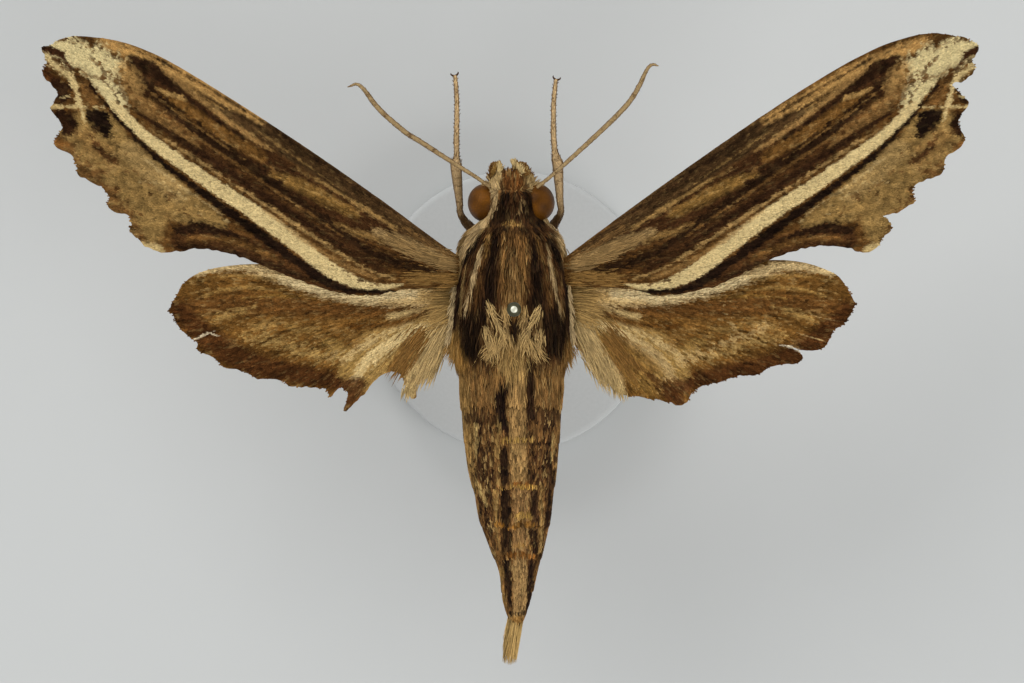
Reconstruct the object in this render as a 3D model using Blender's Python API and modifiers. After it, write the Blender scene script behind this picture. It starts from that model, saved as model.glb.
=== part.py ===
"""A set hawk moth on its insect pin, life size, standing on a plain round base.

The moth lies level as a spread museum specimen does: head towards +Y, back up, wings out along X.
The pin's axis is the Z axis and the underside of the base is Z = 0. Sizes are in millimetres and
become metres as each mesh is made. A wing's or limb's X is written as its reach out from the pin,
and its side's sign is put on as the piece is made.
"""

import math
import random

import bmesh
import bpy
from mathutils import Vector
from mathutils.geometry import delaunay_2d_cdt

MM = 0.001
GAP = 0.3  # clear space between one node and the next
SIDES = {"left": -1, "right": 1}

# Stand and pin.
BASE_RADIUS = 11.0
BASE_HEIGHT = 4.5
BASE_BEVEL = 0.5
PIN_LENGTH = 38.0
PIN_RADIUS = 0.28
PIN_HEAD_RADIUS = 0.55
PIN_POINT_Z = 1.2
PIN_POINT_LENGTH = 1.6
PIN_HOLE_RADIUS = PIN_RADIUS + GAP

# Body stations: y, middle x, middle z, half width, height above and depth below the middle.
HEAD_STATIONS = [
    (6.60, -0.20, 25.0, 2.10, 2.10, 2.10),
    (7.40, -0.20, 25.0, 2.25, 2.40, 2.20),
    (8.40, -0.22, 25.0, 2.20, 2.50, 2.15),
    (9.20, -0.25, 25.1, 1.95, 2.25, 1.90),
    (9.80, -0.30, 25.4, 1.60, 1.65, 1.60),
    (10.25, -0.33, 25.7, 1.15, 1.00, 1.15),
    (10.55, -0.35, 25.9, 0.60, 0.45, 0.55),
]
THORAX_STATIONS = [
    (6.30, -0.20, 25.0, 2.75, 2.30, 2.40),
    (5.80, -0.20, 25.0, 3.45, 2.90, 3.20),
    (5.00, -0.20, 25.0, 4.05, 3.45, 3.80),
    (3.60, -0.18, 25.0, 4.30, 3.85, 4.15),
    (1.60, -0.16, 25.0, 4.40, 4.10, 4.25),
    (-0.60, -0.18, 25.0, 4.50, 4.05, 4.20),
    (-2.60, -0.22, 24.9, 4.50, 3.75, 4.00),
    (-3.90, -0.25, 24.8, 4.20, 3.45, 3.75),
]
ABDOMEN_STATIONS = [
    (-4.20, -0.25, 24.8, 4.02, 3.30, 3.60),
    (-7.00, -0.20, 24.7, 3.90, 3.25, 3.45),
    (-10.00, -0.15, 24.6, 3.72, 3.10, 3.25),
    (-13.00, -0.05, 24.5, 3.28, 2.80, 2.95),
    (-15.50, 0.05, 24.4, 2.82, 2.45, 2.55),
    (-18.00, 0.22, 24.3, 2.18, 1.95, 2.00),
    (-20.00, 0.27, 24.3, 1.52, 1.50, 1.50),
    (-22.00, 0.20, 24.3, 1.12, 1.15, 1.10),
    (-23.60, 0.14, 24.3, 0.62, 0.70, 0.65),
]
SECTION_POWER = 2.2  # a little squarer than an ellipse
RING_ENDS = (-6.9, -9.9, -13.4, -16.3, -18.8, -21.3)  # rear edges of the abdomen's plates
RING_STEP = 0.13  # how far each plate's rear edge stands over the next plate

EYE_REACH = 1.98
EYE_Y = 8.15
EYE_Z = 25.1
EYE_RADII = (1.32, 1.45, 1.65)

# Wings: membrane, veins and the height of the plane they lie in.
WING_THICKNESS = 0.5
WING_Z = 26.3
WING_RISE = 0.045
WING_ARCH = 0.6
WING_SPAN = 31.0
WING_ROOT = 4.5
WING_TWIST = 0.0009
HINDWING_DROP = 1.1
VEIN_HALF_WIDTH = 0.24
VEIN_HEIGHT = 0.18
VEIN_UNDER_SHARE = 0.6
MARGIN_CLEAR = 0.35
FOREWING_GRID = 2.6  # spacing of the points inside a membrane
HINDWING_GRID = 2.4

# Margins as reach and y, from the front root round the tip to the rear root. Each side is its own,
# because the two have worn differently.
FOREWING_MARGIN = {
    "left": [
        (4.9, 4.5), (10.0, 8.3), (15.0, 11.85), (20.0, 15.1), (25.0, 18.2), (27.5, 19.4),
        (30.0, 20.3), (32.7, 20.7), (34.4, 20.4), (35.7, 19.85), (35.3, 18.8), (35.6, 17.8),
        (34.6, 16.4), (35.0, 15.25), (34.15, 14.1), (34.75, 12.75), (33.1, 11.2), (33.05, 10.3),
        (31.0, 9.0), (30.75, 8.0), (29.3, 7.2), (28.95, 6.6), (29.1, 5.9), (28.1, 5.1),
        (26.9, 4.4), (24.0, 4.65), (20.0, 3.7), (16.0, 2.2), (12.0, 1.15), (8.5, 1.4), (4.9, 2.2),
    ],
    "right": [
        (4.6, 4.5), (10.0, 8.6), (15.0, 12.2), (20.0, 15.5), (24.0, 18.0), (26.0, 19.1),
        (28.5, 20.2), (31.5, 20.9), (33.7, 20.7), (35.1, 19.95), (34.6, 19.0), (34.85, 18.25),
        (33.2, 17.0), (34.3, 15.7), (33.6, 14.1), (34.05, 13.0), (32.55, 11.4), (32.4, 10.4),
        (30.3, 9.2), (30.1, 8.1), (28.5, 7.2), (28.1, 6.9), (28.4, 6.1), (27.7, 5.3),
        (26.7, 4.4), (23.1, 4.85), (20.0, 4.1), (16.0, 2.15), (12.0, 1.15), (8.5, 1.5), (4.6, 2.2),
    ],
}
HINDWING_MARGIN = {
    "left": [
        (5.1, 1.9), (10.0, 2.4), (15.0, 3.3), (19.5, 3.5), (22.0, 3.3), (24.0, 2.75), (25.4, 1.5),
        (26.1, -0.1), (25.2, -1.4), (23.9, -2.4), (23.9, -3.1), (22.6, -3.7), (21.8, -4.35),
        (19.7, -5.0), (17.2, -5.5), (16.0, -5.85), (14.3, -5.95), (14.0, -6.6), (13.1, -5.8),
        (12.5, -6.5), (12.9, -7.7), (11.6, -6.6), (10.8, -5.5), (9.1, -4.7), (8.3, -5.5),
        (7.8, -6.6), (7.0, -5.3), (6.2, -3.9), (5.5, -2.4), (5.1, -0.6),
    ],
    "right": [
        (4.8, 1.9), (10.0, 2.5), (15.0, 3.4), (19.5, 3.8), (22.0, 3.6), (24.0, 2.9), (25.2, 1.6),
        (25.8, 0.4), (25.1, -0.6), (24.3, -1.5), (23.6, -2.7), (22.0, -3.3), (21.4, -4.1),
        (19.3, -4.5), (18.4, -4.9), (16.5, -5.2), (15.0, -5.6), (13.6, -6.2), (12.7, -7.15),
        (11.0, -6.8), (8.4, -6.5), (7.2, -5.6), (6.2, -4.3), (5.2, -2.9), (4.8, -0.8),
    ],
}
FOREWING_VEINS = [
    [(5.6, 4.05), (12.0, 9.1), (20.0, 14.5), (25.8, 17.9)],
    [(5.6, 3.45), (12.0, 8.0), (18.0, 12.0), (21.5, 14.0)],
    [(5.6, 2.85), (10.0, 5.2), (15.5, 8.2), (20.5, 11.4)],
    [(21.5, 14.0), (21.2, 12.7), (20.5, 11.4)],
    [(15.0, 10.1), (21.0, 14.5), (26.0, 17.0), (31.0, 19.7)],
    [(21.5, 14.0), (28.0, 17.3), (34.3, 19.6)],
    [(21.5, 14.0), (27.0, 16.2), (34.4, 17.8)],
    [(21.3, 13.2), (27.0, 14.8), (34.0, 15.2)],
    [(20.9, 12.2), (26.0, 12.8), (33.6, 12.8)],
    [(20.5, 11.4), (25.0, 10.6), (32.0, 10.6)],
    [(18.6, 10.2), (22.0, 9.0), (29.7, 8.1)],
    [(15.5, 8.2), (19.5, 6.9), (27.9, 6.0)],
    [(5.6, 2.4), (11.0, 2.5), (17.0, 4.0), (26.4, 5.2)],
]
HINDWING_VEINS = [
    [(5.8, 1.5), (12.0, 2.1), (19.0, 2.7), (23.2, 2.3)],
    [(5.8, 0.9), (13.0, 1.1), (20.0, 1.0), (24.9, 0.4)],
    [(13.0, 1.1), (14.0, 0.2), (19.0, -0.5), (24.6, -1.0)],
    [(14.0, 0.2), (13.4, -0.7), (19.0, -1.8), (23.1, -2.7)],
    [(13.4, -0.7), (12.2, -1.1), (17.0, -2.9), (21.2, -3.9)],
    [(5.8, 0.3), (9.0, -0.5), (14.0, -2.9), (18.5, -4.5)],
    [(5.8, -0.2), (9.0, -2.4), (13.0, -5.0)],
    [(5.8, -0.8), (7.0, -3.0), (8.2, -4.7)],
]

# Limbs as x, y, z and radius down their length.
ANTENNAE = {
    "left": [
        (-2.0, 9.80, 26.6, 0.25), (-4.0, 10.8, 26.9, 0.26), (-7.0, 12.7, 27.0, 0.28),
        (-9.0, 14.15, 26.9, 0.29), (-10.4, 15.5, 26.8, 0.28), (-11.35, 16.75, 26.7, 0.24),
        (-11.75, 17.1, 26.6, 0.20), (-12.15, 17.1, 26.5, 0.15), (-12.6, 16.9, 26.4, 0.08),
    ],
    "right": [
        (1.9, 9.80, 26.6, 0.25), (3.7, 11.1, 26.9, 0.26), (6.0, 13.1, 27.0, 0.28),
        (8.0, 15.1, 26.9, 0.29), (9.1, 16.5, 26.8, 0.28), (9.9, 18.0, 26.7, 0.24),
        (10.15, 18.45, 26.6, 0.20), (10.5, 18.62, 26.5, 0.15), (10.95, 18.5, 26.4, 0.08),
    ],
}
FORELEGS = {
    "left": [
        (-2.7, 5.9, 20.9, 0.50), (-3.4, 6.4, 21.5, 0.45), (-3.95, 7.15, 22.3, 0.36),
        (-4.1, 8.2, 22.8, 0.38), (-4.35, 10.2, 23.1, 0.45), (-4.4, 11.3, 23.2, 0.30),
        (-4.42, 13.0, 23.3, 0.25), (-4.32, 15.8, 23.3, 0.25), (-4.5, 18.0, 23.2, 0.22),
    ],
    "right": [
        (2.4, 5.9, 20.9, 0.50), (3.0, 6.5, 21.5, 0.45), (3.4, 7.35, 22.3, 0.36),
        (3.45, 8.4, 22.8, 0.38), (3.35, 10.4, 23.1, 0.45), (3.1, 11.5, 23.2, 0.30),
        (2.98, 13.0, 23.3, 0.25), (3.0, 15.6, 23.3, 0.25), (3.2, 17.7, 23.2, 0.22),
    ],
}
FORELEG_COXA = (2.0, 4.9)  # reach and y of the root under the thorax
MIDLEG_COXA = (2.0, 1.9)
HINDLEG_COXA = (1.25, -1.5)
MIDLEG = [
    (3.0, 0.9, 20.1, 0.48), (3.7, -0.6, 20.2, 0.36), (3.4, -3.4, 20.0, 0.40),
    (3.0, -6.6, 20.1, 0.34), (2.7, -9.4, 20.3, 0.25), (2.2, -13.4, 20.7, 0.22),
]
HINDLEG = [
    (1.5, -3.0, 19.8, 0.50), (1.7, -5.2, 19.7, 0.36), (1.6, -8.6, 19.9, 0.40),
    (1.3, -12.2, 20.4, 0.34), (1.1, -15.6, 20.9, 0.25), (0.85, -19.6, 21.7, 0.22),
]
CLAW_LENGTH = 0.5
CLAW_SPREAD = 0.35

PALPS = {  # x, y, z and radius from the root under the face to the tip
    "left": [
        (-1.45, 9.25, 22.45, 0.42), (-1.42, 10.15, 22.75, 0.50), (-1.40, 10.85, 23.75, 0.56),
        (-1.38, 11.10, 24.90, 0.50), (-1.30, 11.25, 25.80, 0.30), (-1.25, 11.40, 26.30, 0.10),
    ],
    "right": [
        (0.72, 9.25, 22.45, 0.42), (0.66, 10.15, 22.75, 0.50), (0.60, 10.90, 23.75, 0.58),
        (0.48, 11.15, 24.90, 0.55), (0.20, 11.40, 25.80, 0.32), (0.00, 11.60, 26.30, 0.10),
    ],
}
PROBOSCIS_CENTRE = (-0.38, 8.3, 21.25)
PROBOSCIS_OUTER = 1.1
PROBOSCIS_INNER = 0.42
PROBOSCIS_TURNS = 1.3
PROBOSCIS_RADIUS = 0.25

TUFT_ROOT = (0.14, -23.9, 24.3)
TUFT_TIP = (-0.42, -26.6, 24.1)
TUFT_LOCKS = 11
LOCK_THICKNESS = 0.5
SHOULDER_TURN = math.radians(62)  # how far round from the back each shoulder flap lies
SHOULDER_WIDTHS = (1.2, 2.3, 2.4, 1.9, 0.5)
SHOULDER_THICKNESS = 0.7
FRINGE_LOCKS = 20
FRINGE_SPAN = math.radians(128)  # how far down each flank the rear fringe reaches from the back
CREST_LOCKS = 5

COLOURS = {  # red, green, blue, roughness, metallic
    "stand": (0.62, 0.64, 0.64, 0.55, 0.0),
    "pin": (0.45, 0.46, 0.40, 0.30, 0.9),
    "wing": (0.23, 0.13, 0.055, 0.75, 0.0),
    "hind": (0.25, 0.135, 0.05, 0.75, 0.0),
    "coat": (0.20, 0.115, 0.05, 0.85, 0.0),
    "abdomen": (0.30, 0.19, 0.09, 0.85, 0.0),
    "head": (0.17, 0.095, 0.045, 0.85, 0.0),
    "eye": (0.16, 0.07, 0.02, 0.35, 0.0),
    "limb": (0.50, 0.34, 0.16, 0.7, 0.0),
    "tuft": (0.55, 0.38, 0.17, 0.8, 0.0),
}


def smooth(points, per_span):
    """A smooth path through points of any number of coordinates, with per_span steps between two."""
    ends = [points[0], *points, points[-1]]
    path = []
    for before, start, end, after in zip(ends, ends[1:], ends[2:], ends[3:]):
        for step in range(per_span):
            t = step / per_span
            path.append(tuple(
                0.5 * (2 * b + (c - a) * t + (2 * a - 5 * b + 4 * c - d) * t * t
                       + (3 * b - a - 3 * c + d) * t ** 3)
                for a, b, c, d in zip(before, start, end, after)
            ))
    path.append(tuple(points[-1]))
    return path


def station_at(stations, y):
    """The body's station at y, between the smoothed stations on either side of it."""
    rings = smooth(stations, 6)
    rings.sort(key=lambda ring: ring[0])
    if y <= rings[0][0]:
        return rings[0]
    for low, high in zip(rings, rings[1:]):
        if y <= high[0]:
            share = (y - low[0]) / (high[0] - low[0])
            return tuple(a + (b - a) * share for a, b in zip(low, high))
    return rings[-1]


def section_point(station, turn, lift=0.0):
    """The point on a body section at a turn from the top, lifted off it by lift."""
    y, middle_x, middle_z, half, up, down = station
    side, height = math.sin(turn), math.cos(turn)
    tall = up if height >= 0 else down
    size = (abs(side) ** SECTION_POWER + abs(height) ** SECTION_POWER) ** (-1 / SECTION_POWER)
    return Vector((middle_x + (half + lift) * side * size, y, middle_z + (tall + lift) * height * size))


def underside(station, x):
    """The height of a body section's underside at x."""
    _, middle_x, middle_z, half, _, down = station
    share = min(abs(x - middle_x) / half, 1.0)
    return middle_z - down * (1 - share ** SECTION_POWER) ** (1 / SECTION_POWER)


def finish(name, bm, colour):
    """An object named name from bm's mesh, in the model's collection, with its own material."""
    bmesh.ops.recalc_face_normals(bm, faces=bm.faces)
    mesh = bpy.data.meshes.new(name)
    bm.to_mesh(mesh)
    bm.free()
    return place(name, mesh, colour)


def place(name, data, colour):
    """Puts data in the model's collection as an object named name, with a material of that colour."""
    red, green, blue, roughness, metallic = COLOURS[colour]
    material = bpy.data.materials.new(name)
    material.use_nodes = True
    shader = material.node_tree.nodes["Principled BSDF"]
    shader.inputs["Base Color"].default_value = (red, green, blue, 1.0)
    shader.inputs["Roughness"].default_value = roughness
    shader.inputs["Metallic"].default_value = metallic
    data.materials.clear()
    data.materials.append(material)
    part = bpy.data.objects.new(name, data)
    bpy.data.collections["hawk_moth"].objects.link(part)
    return part


def skin_rings(bm, rings):
    """Joins rings of points, each with the same count, into one closed skin."""
    loops = [[bm.verts.new(Vector(point) * MM) for point in ring] for ring in rings]
    for near, far in zip(loops, loops[1:]):
        for k in range(len(near)):
            after = (k + 1) % len(near)
            bm.faces.new((near[k], near[after], far[after], far[k]))
    bm.faces.new(loops[0])
    bm.faces.new(loops[-1])


def body_loft(name, stations, sides, per_span, colour):
    """A body part lofted through its stations, flat at both ends."""
    bm = bmesh.new()
    turns = [2 * math.pi * k / sides for k in range(sides)]
    rings = [[section_point(ring, turn) for turn in turns] for ring in smooth(stations, per_span)]
    skin_rings(bm, rings)
    return finish(name, bm, colour)


def tube(name, path, per_span, colour):
    """A tube along x, y, z, radius points, as a mesh with its caps welded on."""
    curve = bpy.data.curves.new(name, "CURVE")
    curve.dimensions = "3D"
    curve.bevel_depth = MM
    curve.bevel_resolution = 2
    curve.use_fill_caps = True
    points = smooth(path, per_span)
    spline = curve.splines.new("POLY")
    spline.points.add(len(points) - 1)
    for point, (x, y, z, radius) in zip(spline.points, points):
        point.co = (x * MM, y * MM, z * MM, 1.0)
        point.radius = radius
    guide = place(name, curve, colour)
    bpy.context.view_layer.update()
    evaluated = guide.evaluated_get(bpy.context.evaluated_depsgraph_get())
    mesh = bpy.data.meshes.new_from_object(evaluated)
    bpy.data.objects.remove(guide)
    bm = bmesh.new()
    bm.from_mesh(mesh)
    bmesh.ops.remove_doubles(bm, verts=bm.verts, dist=MM * 0.001)
    return finish(name, bm, colour)


def lock(path, widths, thickness, across, colour):
    """A flat tapered lock: a keeled ribbon along path, its width lying along across."""
    bm = bmesh.new()
    rings = []
    for k, (point, width) in enumerate(zip(path, widths)):
        ahead = path[min(k + 1, len(path) - 1)] - path[max(k - 1, 0)]
        side = (across - across.project(ahead)).normalized()
        keel = ahead.cross(side).normalized()
        thick = thickness * min(1.0, width / max(widths) + 0.25)
        rings.append([
            point + side * width / 2,
            point + keel * thick / 2,
            point - side * width / 2,
            point - keel * thick / 2,
        ])
    skin_rings(bm, rings)
    bmesh.ops.triangulate(bm, faces=bm.faces)
    return finish("lock", bm, colour)


def largest_shell(bm):
    """Deletes every shell of bm but the one that reaches furthest."""
    bm.verts.ensure_lookup_table()
    shells, seen = [], set()
    for start in bm.verts:
        if start in seen:
            continue
        shell, waiting = set(), [start]
        while waiting:
            vert = waiting.pop()
            if vert in shell:
                continue
            shell.add(vert)
            waiting.extend(edge.other_vert(vert) for edge in vert.link_edges)
        seen |= shell
        shells.append(shell)

    def reach(shell):
        xs, ys, zs = zip(*(vert.co for vert in shell))
        return (max(xs) - min(xs)) + (max(ys) - min(ys)) + (max(zs) - min(zs))

    kept = max(shells, key=reach)
    bmesh.ops.delete(bm, geom=[v for v in bm.verts if v not in kept], context="VERTS")


def combine(name, base, tools, operation, colour):
    """base joined with, or cut by, every object in tools, as one mesh; the tools are removed."""
    group = bpy.data.collections.new(name + "_tools")
    bpy.context.scene.collection.children.link(group)
    for tool in tools:
        bpy.data.collections["hawk_moth"].objects.unlink(tool)
        group.objects.link(tool)
    boolean = base.modifiers.new("combine", "BOOLEAN")
    boolean.operation = operation
    boolean.operand_type = "COLLECTION"
    boolean.collection = group
    bpy.context.view_layer.update()
    evaluated = base.evaluated_get(bpy.context.evaluated_depsgraph_get())
    mesh = bpy.data.meshes.new_from_object(evaluated)
    for tool in [*tools, base]:
        bpy.data.objects.remove(tool)
    bpy.data.collections.remove(group)
    bm = bmesh.new()
    bm.from_mesh(mesh)
    largest_shell(bm)
    return finish(name, bm, colour)


def build_stand():
    """The round base, with a bevelled rim and a blind hole for the pin's point."""
    profile = [
        (0.0, 0.0), (BASE_RADIUS - BASE_BEVEL, 0.0), (BASE_RADIUS, BASE_BEVEL),
        (BASE_RADIUS, BASE_HEIGHT - BASE_BEVEL), (BASE_RADIUS - BASE_BEVEL, BASE_HEIGHT),
        (PIN_HOLE_RADIUS, BASE_HEIGHT), (PIN_HOLE_RADIUS, PIN_POINT_Z - GAP),
        (0.0, PIN_POINT_Z - GAP),
    ]
    turned("stand_base", profile[::-1], 40, "stand")


def build_pin():
    """The pin: a point, a plain shaft and a round head, turned about the Z axis."""
    top = PIN_POINT_Z + PIN_LENGTH
    middle = top - PIN_HEAD_RADIUS
    neck = math.asin(PIN_RADIUS / PIN_HEAD_RADIUS)
    steps = 6
    head = [
        (PIN_HEAD_RADIUS * math.sin(turn), middle + PIN_HEAD_RADIUS * math.cos(turn))
        for turn in ((math.pi - neck) * k / steps for k in range(1, steps + 1))
    ]
    shaft = [(PIN_RADIUS, PIN_POINT_Z + PIN_POINT_LENGTH)]
    turned("pin", [(0.0, top), *head, *shaft, (0.0, PIN_POINT_Z)], 12, "pin")


def turned(name, profile, steps, colour):
    """A profile of radius and height, run from top to bottom down its outer side, turned about Z."""
    mesh = bpy.data.meshes.new(name)
    points = [(radius * MM, 0.0, height * MM) for radius, height in profile]
    mesh.from_pydata(points, [(k, k + 1) for k in range(len(points) - 1)], [])
    part = place(name, mesh, colour)
    screw = part.modifiers.new("turn", "SCREW")
    screw.steps = steps
    screw.render_steps = steps
    screw.use_merge_vertices = True
    screw.merge_threshold = MM * 0.001
    screw.use_smooth_shade = True
    return part


def eye_ball(name, side, grow, colour):
    """An eye, grown by grow, as an upright egg at the side of the head."""
    bm = bmesh.new()
    bmesh.ops.create_uvsphere(bm, u_segments=16, v_segments=10, radius=1.0)
    middle = Vector((station_at(HEAD_STATIONS, EYE_Y)[1] + side * EYE_REACH, EYE_Y, EYE_Z))
    for vert in bm.verts:
        stretched = Vector(c * (radius + grow) for c, radius in zip(vert.co, EYE_RADII))
        vert.co = (middle + stretched) * MM
    return finish(name, bm, colour)


def build_head():
    """The head capsule, hollowed to take an eye at each side."""
    capsule = body_loft("capsule", HEAD_STATIONS, 20, 2, "head")
    sockets = [eye_ball("socket", sign, GAP, "head") for sign in SIDES.values()]
    combine("head", capsule, sockets, "DIFFERENCE", "head")
    for side, sign in SIDES.items():
        eye_ball(f"eye_{side}", sign, 0.0, "eye")


def build_palps():
    """The pair of upturned mouth feelers in front of the face, each with a ragged crest."""
    draw = random.Random(3)
    for side, path in PALPS.items():
        stem = tube("stem", path, 2, "coat")
        tip = Vector(path[-2][:3])
        crest = []
        for k in range(CREST_LOCKS):
            turn = math.radians(-70 + 140 * k / (CREST_LOCKS - 1))
            lean = Vector((math.sin(turn), 0.55, math.cos(turn) * 0.9)).normalized()
            root = tip - Vector((0, 0.15, 0.35))
            reach = draw.uniform(0.75, 0.95)
            steps = [root + lean * reach * share for share in (0.0, 0.45, 0.8, 1.0)]
            crest.append(lock(steps, (0.4, 0.42, 0.3, 0.1), 0.4, Vector((0, 1, 0)).cross(lean), "coat"))
        combine(f"palp_{side}", stem, crest, "UNION", "coat")


def build_proboscis():
    """The tongue, coiled like a watch spring below the head."""
    x, y, z = PROBOSCIS_CENTRE
    steps = 26
    path = []
    for k in range(steps + 1):
        share = k / steps
        turn = 2 * math.pi * PROBOSCIS_TURNS * share
        radius = PROBOSCIS_OUTER + (PROBOSCIS_INNER - PROBOSCIS_OUTER) * share
        path.append((x, y - radius * math.sin(turn), z + radius * math.cos(turn), PROBOSCIS_RADIUS))
    tube("proboscis", path, 1, "limb")


def build_antennae():
    """The two feelers, thickest past the middle, each with its hooked tip."""
    for side, path in ANTENNAE.items():
        tube(f"antenna_{side}", path, 3, "limb")


def build_leg(name, root, path, colour):
    """A leg from its root under the thorax down its path, with two claws at the end."""
    x, y = root
    start_z = underside(station_at(THORAX_STATIONS, y), x) - GAP
    start_radius = path[0][3]
    stem = tube("stem", [(x, y, start_z, start_radius), *path], 2, colour)
    foot, before = Vector(path[-1][:3]), Vector(path[-2][:3])
    ahead = (foot - before).normalized()
    claws = []
    for sign in SIDES.values():
        out = Vector((sign * CLAW_SPREAD, 0, 0.05))
        tip = foot + ahead * CLAW_LENGTH * 0.7 + out
        root_point = foot - ahead * 0.15
        claws.append(tube("claw", [(*root_point, 0.16), (*tip, 0.06)], 1, colour))
    combine(name, stem, claws, "UNION", colour)


def build_legs():
    """Forelegs stretched out past the head, and the other legs folded back under the abdomen."""
    for side, sign in SIDES.items():
        middle = THORAX_STATIONS[0][1]
        reach, y = FORELEG_COXA
        build_leg(f"foreleg_{side}", (middle + sign * reach, y), FORELEGS[side], "limb")
        for name, coxa, path in (("midleg", MIDLEG_COXA, MIDLEG), ("hindleg", HINDLEG_COXA, HINDLEG)):
            root = (middle + sign * coxa[0], coxa[1])
            placed = [(middle + sign * x, y, z, radius) for x, y, z, radius in path]
            build_leg(f"{name}_{side}", root, placed, "limb")


def fringe_lock(station_from, station_to, turn, root_y, tip_y, width, clear, colour):
    """A lock rooted in one body part's rear that lies back over the next part, clear of it."""
    path = []
    for share, lift in ((0.0, -0.5), (0.3, 0.0), (0.68, 0.35), (1.0, 0.35)):
        y = root_y + (tip_y - root_y) * share
        body = station_from if y > station_from[-1][0] else station_to
        over = clear + LOCK_THICKNESS / 2 if share > 0.3 else -1.0
        path.append(section_point(station_at(body, y), turn, max(lift, over)))
    around = section_point(station_at(station_from, root_y), turn + 0.05)
    around -= section_point(station_at(station_from, root_y), turn - 0.05)
    widths = (width, width * 1.15, width * 0.8, width * 0.1)
    return lock(path, widths, LOCK_THICKNESS, around, colour)


def build_thorax():
    """The thorax with its shoulder flaps, its tufts and the fringe that hangs over the abdomen."""
    draw = random.Random(11)
    trunk = body_loft("trunk", THORAX_STATIONS, 24, 2, "coat")
    pieces = []
    for sign in SIDES.values():
        turn = sign * SHOULDER_TURN
        path = [section_point(station_at(THORAX_STATIONS, y), turn + sign * sway, lift)
                for y, sway, lift in ((5.3, -0.10, -0.1), (3.6, 0.02, 0.12), (1.6, 0.10, 0.14),
                                      (-0.3, 0.12, 0.10), (-1.8, 0.12, 0.02))]
        across = section_point(station_at(THORAX_STATIONS, 2.0), turn + 0.05)
        across -= section_point(station_at(THORAX_STATIONS, 2.0), turn - 0.05)
        pieces.append(lock(path, SHOULDER_WIDTHS, SHOULDER_THICKNESS, across, "coat"))
    for k in range(FRINGE_LOCKS):
        turn = -FRINGE_SPAN + 2 * FRINGE_SPAN * (k + 0.5) / FRINGE_LOCKS
        flank = abs(turn) / FRINGE_SPAN
        root_y = draw.uniform(-1.9, -1.2)
        tip_y = -4.6 - 0.7 * (1 - flank) - draw.uniform(0, 0.8)
        width = draw.uniform(1.3, 1.6)
        pieces.append(fringe_lock(THORAX_STATIONS, ABDOMEN_STATIONS, turn, root_y, tip_y, width, GAP, "coat"))
    combine_thorax(trunk, pieces)


def combine_thorax(trunk, pieces):
    """Joins the thorax's pieces and drills the hole that the pin passes through."""
    joined = combine("joined", trunk, pieces, "UNION", "coat")
    bm = bmesh.new()
    bmesh.ops.create_cone(bm, cap_ends=True, segments=16, radius1=PIN_HOLE_RADIUS * MM,
                          radius2=PIN_HOLE_RADIUS * MM, depth=30 * MM)
    bmesh.ops.translate(bm, verts=bm.verts, vec=Vector((0, 0, THORAX_STATIONS[0][2])) * MM)
    drill = finish("drill", bm, "coat")
    combine("thorax", joined, [drill], "DIFFERENCE", "coat")


def build_abdomen():
    """The abdomen: overlapping plates, each a little proud of the one behind."""
    bm = bmesh.new()
    sides = 22
    turns = [2 * math.pi * k / sides for k in range(sides)]
    edges = [ABDOMEN_STATIONS[0][0], *RING_ENDS, ABDOMEN_STATIONS[-1][0]]
    rings = []
    for front, rear in zip(edges, edges[1:]):
        last = rear == edges[-1]
        for share in (0.04, 0.5, 0.96):
            station = station_at(ABDOMEN_STATIONS, front + (rear - front) * share)
            lift = 0.0 if last else RING_STEP * (share - 0.5)
            rings.append([section_point(station, turn, lift) for turn in turns])
    first = station_at(ABDOMEN_STATIONS, edges[0])
    end = station_at(ABDOMEN_STATIONS, edges[-1])
    rings.insert(0, [section_point(first, turn) for turn in turns])
    rings.append([section_point(end, turn) for turn in turns])
    skin_rings(bm, rings)
    finish("abdomen", bm, "abdomen")


def build_tail_tuft():
    """The brush of long hair scales at the tip of the abdomen."""
    draw = random.Random(5)
    root, tip = Vector(TUFT_ROOT), Vector(TUFT_TIP)
    end = ABDOMEN_STATIONS[-1]
    core = tube("core", [
        (*root, end[3] * 0.85),
        (*(root + (tip - root) * 0.3), 0.48),
        (*(root + (tip - root) * 0.6), 0.3),
    ], 2, "tuft")
    locks = []
    for k in range(TUFT_LOCKS):
        turn = 2 * math.pi * k / TUFT_LOCKS
        ring = Vector((math.cos(turn), 0, math.sin(turn)))
        reach = draw.uniform(0.8, 1.16)
        flare = draw.uniform(0.3, 0.5)
        path = []
        for share, out in ((0.1, 0.18), (0.45, 0.32), (0.75, 0.36), (1.0, flare)):
            path.append(root + (tip - root) * share * reach + ring * out)
        across = Vector((-math.sin(turn), 0, math.cos(turn)))
        locks.append(lock(path, (0.5, 0.6, 0.45, 0.08), LOCK_THICKNESS, across, "tuft"))
    combine("tail_tuft", core, locks, "UNION", "tuft")


def wing_height(reach, y):
    """The middle height of the plane that the forewing lies in."""
    out = reach - WING_ROOT
    arch = WING_ARCH * math.sin(math.pi * max(0.0, min(out / WING_SPAN, 1.0)))
    return WING_Z + WING_RISE * out + arch + WING_TWIST * (y - 6.0) * out


def distance_to_path(point, path):
    """The shortest distance from a point to a path of straight runs."""
    best = math.inf
    for start, end in zip(path, path[1:]):
        run = (end[0] - start[0], end[1] - start[1])
        length = run[0] ** 2 + run[1] ** 2
        share = ((point[0] - start[0]) * run[0] + (point[1] - start[1]) * run[1]) / length
        share = max(0.0, min(1.0, share))
        best = min(best, math.dist(point, (start[0] + run[0] * share, start[1] + run[1] * share)))
    return best


def inside(point, outline):
    """True if a point lies inside a closed outline."""
    found = False
    for (x0, y0), (x1, y1) in zip(outline, outline[1:] + outline[:1]):
        if (y0 > point[1]) != (y1 > point[1]):
            if point[0] < x0 + (point[1] - y0) / (y1 - y0) * (x1 - x0):
                found = not found
    return found


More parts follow.
